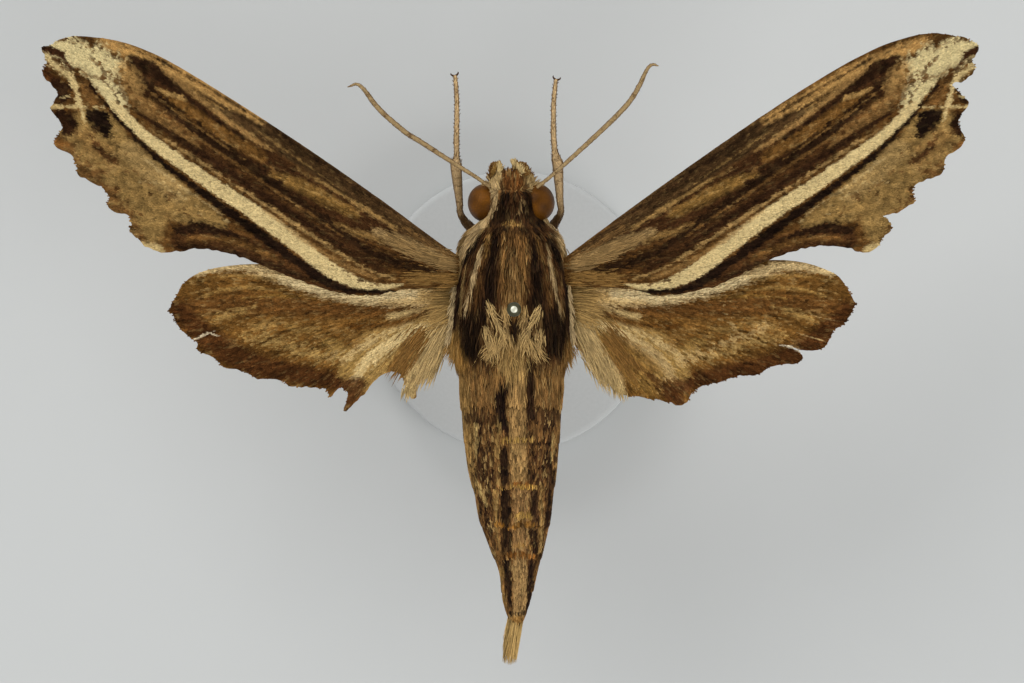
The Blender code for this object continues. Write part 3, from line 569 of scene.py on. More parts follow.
FOREWING_MARKINGS = Markings("#543819", lie=34.0, seed=11, streak=0.36, speckle=0.34, fleck=0.5, glint=0.5,
                             fan=(-2.0, 1.0), strokes=(
    # Broad fields first: the tan outer half, then the dark ones towards the root and the costa.
    Stroke("#866a3c", (5.2, 4.4, 3.4), ((31.8, 12.6), (30, 10), (28, 6.6)), 1, 0.5),
    Stroke("#83673a", (3.2, 3.6, 2.6, 1.4), ((30.5, 11.6), (27.6, 9.6), (25, 7.9), (22.4, 6.4)), 1, 0.5),
    Stroke("#93784a", (1.6, 1.8, 1.2), ((29, 12), (27.2, 10.3), (25.4, 8.7)), 0.7, 0.6),
    Stroke("#3b2411", (1.6, 2.6, 3.2, 2.4), ((7, 4.6), (14, 8), (21, 12.4), (28, 17.6)), 1, 0.8),
    # A brown border along the outer margin, deepest where the wing is scalloped.
    Stroke("#5a3a1c", (1, 1.5, 1.5, 1, 0.6), ((34.8, 13.2), (33.4, 11.4), (31.2, 9.4), (29.2, 6.8),
           (28.2, 5.2)), 0.8, 0.7, 0.5),
    Stroke("#44301a", (0.8, 1.8, 1.9, 1.6), ((5.4, 4.4), (11, 8.3), (17, 12.4), (23, 16.2)), 1, 0.3),
    Stroke("#a07a45", (0.6, 0.9, 1.1, 0.8), ((19, 14.3), (23, 16.6), (27, 18.7), (31, 20.2)), 1, 0.3),
    Stroke("#2b1a0d", (0.16, 0.2, 0.2), ((9, 7.4), (20, 14.9), (27, 19)), 0.8, 0.16),
    Stroke("#b18a50", (0.1, 0.22, 0.2, 0.1), ((21.5, 15.2), (24, 16.9), (27, 18.55), (30, 19.75)), 0.9, 0.1,
           0.05),
    Stroke("#a57c43", (0.08, 0.16, 0.1), ((22, 15.2), (24.6, 16.75), (27, 18.05)), 0.8, 0.1, 0.05),
    Stroke("#6b4a22", (0.5, 1.5, 1.4, 0.7), ((27.2, 16.3), (25, 15.1), (22.5, 13.6), (19, 11.5)), 1, 0.4),
    Stroke("#8e6c3e", (0.3, 0.5, 0.42, 0.2), ((26.7, 18.1), (24, 16.2), (21.5, 14.2), (18.2, 12)), 1),
    Stroke("#8f6f3f", (0.14, 0.2, 0.3, 0.18), ((16.5, 10.8), (14, 9.3), (11.5, 7.8), (9, 6.2)), 0.8, 0.16),
    Stroke("#2a190c", (0.7, 1.2, 0.7, 0.4, 0.25), ((28.9, 19), (27.4, 18.2), (26.2, 17.2), (24, 15.5),
           (20.5, 13)), 1, 0.25),
    Stroke("#9a7845", (0.2, 0.34, 0.2), ((27.1, 16.75), (26, 16.3), (24.8, 15.9)), 1, 0.15),
    Stroke("#826130", (0.5, 0.9, 0.9, 0.5), ((18.4, 10.1), (16.4, 9.5), (14.4, 8.5), (12, 7.2)), 0.9, 0.5),
    Stroke("#7e6034", (0.25, 0.45, 0.4), ((16.4, 7.6), (13, 6.2), (9.8, 5.3)), 0.9, 0.3),
    Stroke("#28180b", (0.4, 0.7, 1, 1, 0.95, 0.9, 0.5), ((29, 18.5), (27, 16.2), (24, 13.6), (20, 10.8),
           (16, 7.8), (11, 4.4), (6, 3)), 1, 0.35, 0.2),
    Stroke("#9a7e52", (0.5, 0.9, 1), ((10.4, 5.9), (7.8, 4.8), (5, 3.7)), 0.9, 0.5),
    # The speckled brown ground between the black streak and the pale stripe.
    Stroke("#3a2411", (0.8, 1.1, 1.2, 0.8), ((28.4, 15.4), (24, 12.1), (18, 7.95), (10, 3)), 1, 0.4),
    Stroke("#7d5c32", (0.7, 1.1, 0.8, 0.4), ((30.1, 17), (28.4, 15.7), (26.4, 14.2), (24, 12.4)), 0.9, 0.5,
           0.3),
    Stroke("#957647", (0.2, 0.26, 0.24, 0.3), ((28, 13.75), (25, 12), (20, 8.75), (12, 3.55), (9.2, 2.45)),
           0.95, 0.1, 0.12),
    Stroke("#2a180b", (0.2, 0.42, 0.38, 0.24), ((28.4, 14.85), (25, 12.75), (20, 9.4), (13, 4.85)), 0.9, 0.1,
           0.06),
    Stroke("#6e4e28", (0.1, 0.2, 0.2, 0.14), ((27.6, 15.4), (24, 13.05), (19, 9.7), (13, 5.6)), 0.7, 0.1,
           0.08),
    Stroke("#2f1d0e", (0.06, 0.16, 0.14), ((27.8, 17.2), (25, 15), (21.4, 12.3)), 0.7, 0.1, 0.08),
    Stroke("#8a6637", (0.06, 0.16, 0.12, 0.06), ((28.2, 17.1), (25.6, 15.05), (22.6, 12.9), (20.4, 11.4)),
           0.6, 0.1),
    Stroke("#7b5a30", (0.06, 0.14, 0.06), ((24.4, 15.1), (21, 12.6), (17.6, 10.2)), 0.7, 0.1, 0.08),
    Stroke("#4f3417", (0.3, 0.28, 0.3, 0.4), ((28.6, 14.2), (25, 11.65), (20, 8.3), (13, 3.75), (10.5, 2.6)),
           0.9, 0.16),
    # The inner margin's dark band and the black patch near its outer end.
    Stroke("#432a14", (1.9, 1.8, 1.9, 1.2), ((25, 5.3), (21, 5), (16.5, 3), (12.5, 1.5)), 1, 0.4),
    Stroke("#6a4a24", (0.3, 0.6, 0.3), ((24.6, 5.4), (21.5, 5.3), (18, 3.9)), 0.8, 0.3),
    Stroke("#231409", (0.7, 0.8, 0.5), ((25.5, 6.1), (23.6, 6.2), (21, 5.7)), 1, 0.3, 0.2),
    Stroke("#2a190c", (0.3, 0.5, 0.4), ((25.2, 4.75), (21, 4.3), (16, 2.4)), 0.9, 0.3),
    # The pale tip, and the stripe that runs from it to the root with a black stripe below.
    Stroke("#c8b684", (1.5, 2, 2.1, 1.8, 1.3), ((34.6, 19.7), (33, 19.3), (31.6, 18.5), (30.8, 17.2),
           (29.8, 15.7)), 1, 0.4, 0.3),
    Stroke("#c8b684", (0.7, 1), ((31.6, 19.7), (30, 18.5)), 1, 0.4, 0.3),
    Stroke("#9b7845", (0.7, 1, 0.6), ((29.6, 18.4), (28.8, 17.5), (28.2, 16.5)), 0.8, 0.5, 0.25),
    Stroke("#c7b07c", (0.9, 0.8, 1, 1.1, 1.2, 1.15, 0.8, 0.02), ((30.2, 15.4), (28, 13.25), (24, 10.3),
           (20, 7.65), (17, 5.5), (14, 3.15), (11, 1.75), (8.4, 1.95)), 1, 0.12, 0.07),
    Stroke("#8c6a3c", (0.1, 0.3, 0.35, 0.2), ((19, 7.6), (16, 5.4), (13, 3.5), (10.5, 2.4)), 0.7),
    Stroke("#1c1008", (0.3, 0.38, 0.52, 0.64, 0.74, 0.7, 0.5, 0.3), ((30.5, 15.1), (28, 12.4), (25, 9.95),
           (22, 7.75), (19, 5.6), (16, 3.4), (13, 1.6), (9, 1.35)), 1, 0.15, 0.09),
    Stroke("#a88e5e", (0.1, 0.24, 0.2, 0.1), ((28, 11.5), (25.3, 9.45), (23, 7.9), (21.4, 6.5)), 0.75, 0.12),
    # The outer edge: dash, patches and the pale vein lines between them.
    Stroke("#3a2211", (0.3, 0.6, 0.5, 0.14, 0.1), ((35.7, 19.9), (34.9, 19.55), (34.2, 19.2), (33.6, 18.5),
           (32.9, 17.8)), 1, 0.12),
    Stroke("#4c2c14", (0.4, 0.6, 0.3), ((35.4, 18.4), (35.2, 17.8), (34.6, 17.3))),
    Stroke("#bfa874", (0.5, 0.5, 0.4), ((35.2, 18.9), (34.2, 18.1), (33.4, 17.3)), 0.85, 0.2, 0.2),
    Stroke("#27160a", (1.1, 1.5, 1.1), ((34.5, 17), (34.1, 16.5), (34.2, 15.95)), 1, 0.4, 0.25),
    Stroke("#6a4a25", (0.8, 1, 0.9), ((32.4, 17), (32.2, 16.3), (31.7, 15.7)), 0.9, 0.3, 0.2),
    Stroke("#27160a", (1.2, 1.4, 0.9), ((34.2, 14.7), (33.7, 14.2), (33.7, 13.6)), 1, 0.4, 0.25),
    Stroke("#1a0f08", (1.2, 1.6, 0.8), ((31.9, 14.7), (31.2, 14.1), (30.8, 13.3)), 1, 0.35, 0.3),
    Stroke("#6d4d28", (1.6, 1.4), ((32.4, 12.7), (30.6, 11.6)), 0.5, 0.8, 0.4),
    Stroke("#b79e6b", (0.3, 0.22, 0.16), ((35.1, 15.4), (33, 15.35), (30.9, 15.35)), 0.95, 0.1),
    Stroke("#c0a874", (0.5, 0.4, 0.34, 0.2), ((33.5, 17.7), (33, 16.3), (32.7, 15.2), (32.45, 14.2)), 1,
           0.14),
    Stroke("#241509", (0.14, 0.2, 0.2, 0.3), ((32.2, 17.5), (31.9, 16.8), (31.2, 16), (30.4, 15)), 1, 0.08),
    Stroke("#4a2f16", (0.1, 0.2, 0.2), ((31.9, 19), (31, 18.1), (29.9, 17.1), (29.3, 15.9)), 0.8, 0.2, 0.35),
    Stroke("#4a2f16", (0.1, 0.16, 0.1), ((31.1, 17.6), (30.6, 16.8), (29.8, 15.6)), 0.8, 0.1, 0.2),
    Stroke("#5a3c1e", (0.08, 0.16, 0.12), ((33, 18.6), (32.2, 17.75), (30.4, 17.4)), 0.7, 0.15, 0.15),
    Stroke("#4a2c16", (0.5, 0.3, 0.2), ((31.9, 12.9), (31.2, 12), (29.3, 10.4)), 0.8, 0.2, 0.3),
    Stroke("#5b3b1c", (0.14, 0.22, 0.14), ((28.6, 10.4), (27.4, 9.4), (25.6, 8.6)), 0.6, 0.2, 0.25),
    Stroke("#8a5c2c", (0.5, 0.5), ((34.6, 12.7), (33.9, 12.6)), 0.8, 0.3),
    Stroke("#b9a06c", (0.4, 0.7, 0.3), ((28.1, 4.9), (27.3, 4.75), (26.6, 4.5)), 0.95, 0.3),
    Stroke("#bfa874", (0.05, 0.12, 0.06), ((35.3, 18.5), (34, 18), (32.8, 18)), 0.8, 0.06, 0.06),
    Stroke("#bfa874", (0.04, 0.1, 0.04), ((34.9, 15.9), (33.6, 16.2), (32.9, 16.9)), 0.6, 0.06, 0.06),
    Stroke("#2a190c", (0.06, 0.12, 0.06), ((29.6, 19.95), (26.5, 18.7), (22.5, 16.1)), 0.7, 0.08, 0.06),
    Stroke("#2a190c", (0.05, 0.1, 0.05), ((18, 13.3), (14, 10.6), (10, 7.8)), 0.6, 0.08, 0.06),
    Stroke("#8f6f3f", (0.04, 0.1, 0.04), ((19.5, 13.6), (16, 11.2), (12.6, 8.8)), 0.6, 0.08, 0.08),
    # Dark specks: over the tip, along both edges of the pale stripe and through the tan half.
    Stroke("#4f3518", (-0.5, -0.6), ((34.4, 20.1), (32.6, 20), (31.2, 19.5), (30, 18.6)), 0.9, 0.06, 0.5),
    Stroke("#5b3d1c", (-0.5, -0.5), ((31.8, 18.9), (30.6, 17.9), (29.4, 16.6)), 0.85, 0.06, 0.5),
    Stroke("#3c2611", (-0.3, -0.3), ((33.8, 18.4), (32.6, 17.2), (31.6, 16)), 0.8, 0.06, 0.4),
    Stroke("#4a3016", (-1.4, -1.6, -1.4), ((32.4, 13.2), (29.6, 11), (26.4, 8.4), (23.6, 6.9)), 0.75, 0.08,
           1.1),
    Stroke("#4a3016", (-1.2, -1.2), ((31, 10.2), (29.2, 8), (28, 5.8)), 0.75, 0.08, 0.9),
    Stroke("#b49a66", (-0.5, -0.5, -0.5), ((28.4, 10), (25.6, 8.9), (23.4, 7.4)), 0.6, 0.08, 0.5),
    Stroke("#4f3317", (-0.14, -0.2, -0.1), ((14, 3.9), (11.6, 2.3), (9.4, 2)), 0.85, 0.06, 0.35),
))

HINDWING_MARKINGS = Markings("#69481f", lie=6.0, seed=31, streak=0.4, speckle=0.34, fleck=0.5, glint=0.6,
                             streak_size=(2.2, 0.2), fan=(3.6, 1.8), strokes=(
    Stroke("#5a3a1a", (1.2, 1.6, 1.4, 0.8), ((24.8, 0.2), (20, 0.5), (14, 0.1), (7, 0)), 0.8, 0.7),
    Stroke("#452811", (1.2, 1.9, 2, 1.7, 1.4), ((25.6, 0.2), (23.6, -1.8), (20.4, -3.9), (16.6, -4.8),
           (13.4, -5.4)), 0.95, 0.7),
    # The pale front strip, partly its own colour and partly painted light against the front wing's shade.
    Stroke("#dcc089", (0.35, 0.6, 0.9, 1.2, 1.2), ((24, 2.9), (20.5, 3.4), (16.5, 2.15), (12, 1.15),
           (6.6, 1)), 1, 0.6, 0.2),
    Stroke("#c09c60", (0.5, 1, 1.1), ((10, 0.8), (7.5, 1), (5, 1)), 0.8, 0.5),
    # Painted light beside the front wing's edge, against the shade that the front wing casts here.
    Stroke("#f3dba6", (0.4, 0.8, 0.9, 0.6), ((17.6, 2.4), (14.6, 1.6), (11, 1.15), (7.6, 1.2)), 0.85, 0.5),
    Stroke("#9b7c46", (1.4, 2.8, 4, 3.8), ((5.2, -0.8), (7.6, -1.9), (9.6, -3), (11.2, -4.4)), 0.9, 0.8, 0.3),
    Stroke("#94733e", (0.1, 0.2, 0.14), ((24.4, 2.2), (21.5, 2.6), (18, 2.3)), 0.8, 0.16),
    Stroke("#94733e", (0.1, 0.26, 0.14), ((23.6, 1.05), (21, 1.7), (17.6, 1.5)), 0.8, 0.16),
    Stroke("#86642f", (0.1, 0.2, 0.1), ((20.5, 0.9), (18, 1.1), (15, 0.9)), 0.7, 0.16),
    Stroke("#9a7a44", (0.2, 0.4, 0.2), ((22.9, -0.75), (21.3, -0.2), (19.8, 0.2)), 0.85, 0.3, 0.2),
    Stroke("#94733f", (0.3, 0.6, 0.4), ((20.6, -1.75), (19, -1.2), (17.8, -1)), 0.85, 0.4, 0.3),
    Stroke("#8f6e3a", (0.3, 0.6, 0.4), ((17.2, -1), (16.4, -1.5), (15, -1.5)), 0.8, 0.4, 0.3),
    Stroke("#a4844c", (0.3, 0.6, 0.6, 0.7, 0.5), ((20, -2.2), (18.4, -2.3), (16.8, -2.8), (15.2, -3.1),
           (13.6, -3.6)), 0.8, 0.6, 0.5),
    Stroke("#96763f", (0.8, 1.4, 1.8, 1.4), ((14.2, -2.6), (12.8, -3.2), (12, -4.2), (11.6, -5)), 0.8, 0.8,
           0.5),
    Stroke("#7c592b", (0.5, 0.9, 0.5), ((14, -0.9), (12.5, -1.9), (12, -3)), 0.7, 0.5, 0.3),
    Stroke("#b89d69", (0.4, 0.6, 0.5), ((5.8, 0.1), (7.6, -0.2), (9.4, -0.5)), 0.9, 0.3),
    Stroke("#d6bc85", (0.4, 0.7, 0.9, 0.8, 0.4), ((5.4, -0.6), (7.6, -1.6), (9.8, -2.9), (11.4, -4.2),
           (12, -5.2)), 0.9, 0.4, 0.25),
    Stroke("#c8ac76", (0.4, 0.5, 0.4), ((8, -1), (10.6, -2.2), (13, -3.8)), 0.7, 0.3, 0.25),
    Stroke("#c9ac75", (0.8, 1.2, 1.3, 0.9), ((5.2, -1.6), (6.4, -3.4), (7.4, -4.8), (8, -6.4)), 0.95, 0.4),
    Stroke("#7d5728", (0.2, 0.5, 0.6), ((7.2, -1.7), (8.4, -2.9), (9.2, -4.4)), 0.85, 0.3, 0.2),
    Stroke("#5a3814", (0.3, 0.6, 0.5, 0.4), ((5.6, 0.4), (7.6, -0.5), (9.6, -1.1), (12.4, -1.2)), 0.9, 0.35),
    Stroke("#53331a", (0.9, 1.2, 0.8), ((13, -5.9), (11.8, -5.7), (12.6, -7.2)), 0.9, 0.4),
))

# Each hindwing has its own pale scratches and worn spots.
LEFT_HINDWING_MARKINGS = replace(HINDWING_MARKINGS, strokes=HINDWING_MARKINGS.strokes + (
    Stroke("#cdbd9c", (0.04, 0.14, 0.06), ((24.1, -2.2), (23.3, -1.75), (22.4, -1.95)), 0.9, 0.06, 0.05),
    Stroke("#cdbd9c", (0.04, 0.1, 0.04), ((23.9, -2), (23.4, -1.9), (22.5, -1.5)), 0.8, 0.06, 0.04),
    Stroke("#a08455", (0.1, 0.3, 0.1), ((14.3, -3.9), (13.8, -3.5), (13.3, -3.1)), 0.7, 0.15, 0.15),
    Stroke("#a08455", (-0.6, -0.6), ((15.4, -2.2), (14.2, -3.4)), 0.8, 0.06, 0.7),
))

# The right one is also darker towards its rear corner.
RIGHT_HINDWING_MARKINGS = replace(HINDWING_MARKINGS, strokes=HINDWING_MARKINGS.strokes + (
    Stroke("#87642f", (1, 2.2, 2.6, 2), ((7, -2.4), (8.6, -3.6), (9.6, -4.6), (10.2, -5.6)), 0.75, 0.7, 0.3),
    Stroke("#452811", (0.4, 0.8, 1.2), ((9.6, -4.4), (10.8, -5.4), (11.8, -6.4)), 0.85, 0.4, 0.3),
    Stroke("#7d5a2c", (0.8, 1.2, 1.1), ((8.6, -2.4), (10.6, -3.7), (11.8, -5)), 0.55, 0.6, 0.3),
    Stroke("#d5c8ac", (0.04, 0.12, 0.1), ((20.1, -2.65), (21, -2.8), (22.2, -3.4)), 0.95, 0.05, 0.03),
    Stroke("#a5895a", (0.05, 0.07, 0.05), ((22.4, -0.35), (23.4, -0.6), (24.5, -0.85)), 0.8, 0.05, 0.02),
    Stroke("#a5895a", (0.05, 0.07, 0.05), ((21.5, -1.75), (22.5, -2.05), (23.5, -2.35)), 0.8, 0.05, 0.02),
    Stroke("#a08455", (-0.5, -0.5, -0.5), ((15.6, 1), (16.2, -0.6), (16.6, -1.6)), 0.8, 0.05, 0.6),
    Stroke("#b59763", (0.2, 0.4, 0.4, 0.2), ((11.6, -5), (12.6, -4), (15, -3), (19, -1.2)), 0.7, 0.4, 0.4),
))


@dataclass(frozen=True)
class WingPlane:
    """The gently arched surface that a wing lies in, shared by its membrane, scales and hair."""

    root_z: float = 26.3
    rise: float = 0.045
    arch: float = 0.6
    span: float = 31.0
    root_reach: float = 4.5
    twist: float = 0.0009
    drop: float = 0.0

    def height(self, points: Array) -> Array:
        """The surface's height at plan points, given as reach and y."""
        out = points[:, 0] - self.root_reach
        arch = self.arch * np.sin(np.pi * np.clip(out / self.span, 0, 1))
        return self.root_z + self.rise * out + arch + self.twist * (points[:, 1] - 6) * out - self.drop


@dataclass
class Wing:
    """One wing: a thin patterned membrane with raised veins, scales, a fringe and root hair."""

    name: str
    side: Side
    margin: Path
    veins: tuple[Path, ...]
    markings: Markings
    plane: WingPlane
    slot: str
    hair: tuple[HairRow, ...]
    hub: tuple[float, float]  # where the scales' directions fan out from
    scale_count: int
    seed: int
    spacing: float = 0.115
    thickness: float = 0.16
    vein_width: float = 0.2
    vein_height: float = 0.07
    wear: float = 0.07
    scale_length: tuple[float, float] = (0.2, 0.36)
    fringe_length: tuple[float, float] = (0.16, 0.36)
    under_share: float = 0.22  # the share of the scales that lie on the lower face
    outline: Array = field(init=False)

    def __post_init__(self) -> None:
        """Draws the worn margin once, because every part of the wing uses it."""
        ring = np.array([*self.margin, self.margin[0]])
        line = resample(smooth_path(ring, 3), self.spacing)[:-1]
        along = np.arange(len(line)) * self.spacing
        wobble = grain(np.stack([along, along * 0], axis=1), (0.35, 1.0), self.seed)
        ahead = np.roll(line, -1, axis=0) - np.roll(line, 1, axis=0)
        across = np.stack([-ahead[:, 1], ahead[:, 0]], axis=1)
        across /= np.linalg.norm(across, axis=1, keepdims=True)
        self.outline = line + across * wobble[:, None] * self.wear * self.worn(line)[:, None]

    def worn(self, points: Array) -> Array:
        """How ragged the margin is at plan points: whole along the front edge, worn at the rear."""
        front, _ = nearest(points, smooth_path(np.array(self.margin[:9]), 3))
        return np.clip(front / 1.5, 0.1, 1)

    def relief(self, points: Array) -> Array:
        """How far veins and pleats raise the membrane at plan points."""
        ridge = np.zeros(len(points))
        for vein in self.veins:
            gap, _ = nearest(points, smooth_path(np.array(vein), 5))
            ridge = np.maximum(ridge, np.exp(-(gap / (self.vein_width / 2)) ** 2))
        pleat = grain(turned_frame(points, self.markings.lie), (5.0, 0.9), self.seed + 5)
        return self.vein_height * ridge + 0.05 * pleat

    def interior(self) -> Array:
        """Plan points in a close triangle grid inside the outline."""
        low, high = self.outline.min(0), self.outline.max(0)
        rows = np.arange(low[1], high[1], self.spacing * math.sqrt(3) / 2)
        columns = np.arange(low[0], high[0], self.spacing)
        x, y = np.meshgrid(columns, rows)
        x = x + np.where(np.arange(len(rows)) % 2, self.spacing / 2, 0)[:, None]
        points = np.stack([x.ravel(), y.ravel()], axis=1)
        points = points[inside(points, self.outline)]
        close = resample(np.vstack([self.outline, self.outline[:1]]), self.spacing * 2)
        gap, _ = nearest(points, close)
        return points[gap > self.spacing * 0.55]

    def place(self, points: Array, lift: Array) -> Array:
        """Plan points set in the wing's surface, on its own side, and lifted off it."""
        height = self.plane.height(points) + lift
        return np.stack([points[:, 0] * self.side.value, points[:, 1], height], axis=1)

    def top(self, points: Array) -> Array:
        """The upper face's height at plan points."""
        return self.plane.height(points) + self.thickness / 2 + self.relief(points)

    def unwrap(self, points: Array, under: bool = False) -> Array:
        """The bake map's place of plan points: the upper face fills one half and the lower the other."""
        turned = turned_frame(points, self.markings.lie)
        ring = turned_frame(self.outline, self.markings.lie)
        share = (turned - ring.min(0)) / (ring.max(0) - ring.min(0))
        return np.stack([0.02 + 0.44 * share[:, 0] + 0.5 * under, 0.02 + 0.96 * share[:, 1]], axis=1)

    def under_colours(self, points: Array) -> Array:
        """The plain underside: the upper markings, faint, under an even ochre brown."""
        return 0.25 * self.markings.colours(points) + 0.75 * Markings(
            "#8a6232", (), self.markings.lie, 0.25, 0.25, seed=self.seed).colours(points)

    def membrane(self) -> None:
        """The membrane: a thin closed plate with the markings above and a plain underside."""
        ring = len(self.outline)
        points = np.vstack([self.outline, self.interior()])
        edges = [(k, (k + 1) % ring) for k in range(ring)]
        flat, _, faces, _, _, _ = delaunay_2d_cdt([Vector(p) for p in points], edges, [], 1, 1e-5)
        flat = np.array([tuple(p) for p in flat])
        faces = np.array(faces)
        used, faces = np.unique(faces, return_inverse=True)
        flat, faces = flat[used], faces.reshape(-1, 3)
        bulk = self.relief(flat)
        rim = np.vstack([self.outline, self.outline[:1]])
        taper = np.clip(nearest(flat, resample(rim, 0.3))[0] / 0.3, 0.25, 1)
        upper = self.place(flat, self.thickness / 2 * taper + bulk)
        lower = self.place(flat, -self.thickness / 2 * taper + bulk * 0.6 - 0.4 * self.vein_height)
        count = len(flat)
        sides = np.concatenate([faces[:, [0, 1]], faces[:, [1, 2]], faces[:, [2, 0]]])
        keys = np.sort(sides, axis=1)
        _, first, times = np.unique(keys, axis=0, return_index=True, return_counts=True)
        a, b = sides[first[times == 1]].T
        walls = np.concatenate([np.stack([b, a, a + count], 1), np.stack([b, a + count, b + count], 1)])
        every = np.concatenate([faces, faces[:, ::-1] + count, walls])
        if self.side is Side.LEFT:
            every = every[:, ::-1]
        shade = np.vstack([self.markings.colours(flat), self.under_colours(flat)])
        unwrap = np.vstack([self.unwrap(flat), self.unwrap(flat, under=True)])
        made = make_mesh(f"{self.name}_membrane_{self.side.label}", np.vstack([upper, lower]), every, shade,
                         unwrap)
        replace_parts(made, f"{self.name}_{self.side.label}")
        dress(made, WING_SCALES, self.slot)

    def ways(self, points: Array, rng: np.random.Generator, spread: float) -> Array:
        """Directions in plan that fan out from the wing's hub, each turned at random by spread."""
        away = unit(points - np.array(self.hub))
        turn = rng.normal(0, spread, len(points))
        return np.stack([away[:, 0] * np.cos(turn) - away[:, 1] * np.sin(turn),
                         away[:, 0] * np.sin(turn) + away[:, 1] * np.cos(turn)], axis=1)

    def scales(self) -> None:
        """Powdery scales over both faces, drawn about twice as coarse as real ones."""
        rng = np.random.default_rng(self.seed)
        low, high = self.outline.min(0), self.outline.max(0)
        points = rng.uniform(low, high, (self.scale_count * 3, 2))
        points = points[inside(points, self.outline)]
        rim = resample(np.vstack([self.outline, self.outline[:1]]), 0.3)
        points = points[nearest(points, rim)[0] > 0.12][:self.scale_count]
        under = rng.random(len(points)) < self.under_share
        sign = np.where(under, -1.0, 1.0)
        ways = self.ways(points, rng, 0.12)
        bulk = self.relief(points) + 0.01
        lift = np.where(under, -self.thickness / 2 + 0.6 * bulk - 0.03, self.thickness / 2 + bulk)
        roots = self.place(points, lift)
        tips = self.place(points + ways * 0.2, lift + sign * 0.008)
        ups = np.tile((0.0, 0.0, 1.0), (len(points), 1)) * sign[:, None]
        shades = np.where(under[:, None], self.under_colours(points),
                          self.markings.colours(points + ways * 0.15))
        shades = shades * rng.uniform(0.85, 1.2, (len(points), 1))
        places = np.where(under[:, None], self.unwrap(points, True), self.unwrap(points))
        lengths = rng.uniform(*self.scale_length, len(points))
        # The scales take a weaker painted root shade than hair does.
        locks = Locks(roots, unit(tips - roots), ups, lengths, lengths * 0.34, shades, places, 0.0, 0.22)
        name = f"{self.name}_scales_{self.side.label}"
        locks.build(name, WING_SCALES, self.slot, LockShape.FLAKE, 0.12)

    def fringe(self) -> Locks:
        """Short scales along the worn rear and outer margin, which point outwards."""
        rng = np.random.default_rng(self.seed + 7)
        ring = np.vstack([self.outline, self.outline[:1]])
        points = resample(ring, 0.07)
        ahead = unit(np.gradient(points, axis=0))
        out = np.stack([ahead[:, 1], -ahead[:, 0]], axis=1)
        if not inside(points[5:6] - out[5:6] * 0.2, self.outline)[0]:  # the margin may run either way round
            out = -out
        kept = self.worn(points) > 0.5
        points, out = points[kept] - out[kept] * 0.3, out[kept]
        ways = unit(out + rng.normal(0, 0.22, points.shape))
        lengths = rng.uniform(*self.fringe_length, len(points))
        roots = self.place(points, self.relief(points) + rng.uniform(-0.03, 0.05, len(points)))
        tips = self.place(points + ways * 0.2, self.relief(points))
        shades = self.markings.colours(points) * rng.uniform(0.7, 1.25, (len(points), 1))
        ups = np.tile((0.0, 0.0, 1.0), (len(points), 1))
        places = self.unwrap(points)
        return Locks(roots, unit(tips - roots), ups, lengths, lengths * 0.24, shades, places, 0.0)

    def build(self) -> None:
        """Builds the whole wing."""
        self.membrane()
        self.scales()
        rng = np.random.default_rng(self.seed + 9)
        rows = [row.locks(self.top, self.side.value, self.unwrap, rng) for row in self.hair]
        Locks.joined([self.fringe(), *rows]).build(f"{self.name}_hair_{self.side.label}", HAIR, self.slot)


FOREWING_MARGINS: dict[Side, Path] = {
    Side.LEFT: (
        (3.9, 3.9), (6, 5.35), (10, 8.3), (15, 11.8), (20, 15.1), (25, 18.2), (27.5, 19.5), (30, 20.35),
        (32.7, 20.7), (34, 20.55), (35, 20.05), (35.7, 19.85), (35.3, 18.7), (35.6, 17.8), (35.2, 17.3),
        (34.7, 16.7), (34.55, 16.2), (35, 15.25), (34.6, 14.7), (34.15, 14), (34.3, 13.5), (34.75, 12.75),
        (34.4, 12.2), (33.5, 11.7), (33.05, 11), (33.05, 10.3), (32.4, 9.9), (31.2, 9.3), (30.6, 8.5),
        (30.75, 8), (30.3, 7.5), (29.2, 7.15), (28.95, 6.5), (29.1, 5.95), (28.5, 5.45), (28, 4.9),
        (26.8, 4.35), (25, 4.5), (23.8, 4.65), (22, 4.4), (20, 3.75), (16, 2.15), (14, 1.5), (12, 1.15),
        (10.2, 1.2), (8, 1.6), (3.9, 2)),
    Side.RIGHT: (
        (3.6, 3.8), (5.8, 5.45), (10, 8.55), (15, 12.1), (20, 15.5), (24, 18), (26, 19.1), (28, 20.05),
        (30.5, 20.8), (32, 20.9), (34, 20.6), (35.05, 19.95), (34.9, 19.2), (34.6, 18.95), (34.85, 18.3),
        (34.2, 17.4), (33.15, 17), (34.2, 16), (34.3, 15.4), (33.6, 14.4), (33.6, 13.8), (34.05, 13),
        (33.7, 12.3), (32.6, 11.5), (32.5, 10.7), (32.1, 10.2), (30.7, 9.65), (30.1, 9), (30.3, 8.4),
        (30, 7.95), (28.9, 7.35), (27.85, 7.15), (28.2, 6.9), (28.5, 6.1), (28, 5.6), (27.45, 4.7),
        (26.4, 4.35), (25, 4.75), (23.1, 4.85), (20, 4.1), (16, 2.1), (14, 1.5), (12, 1.15), (10.5, 1.15),
        (8, 1.7), (3.6, 2)),
}
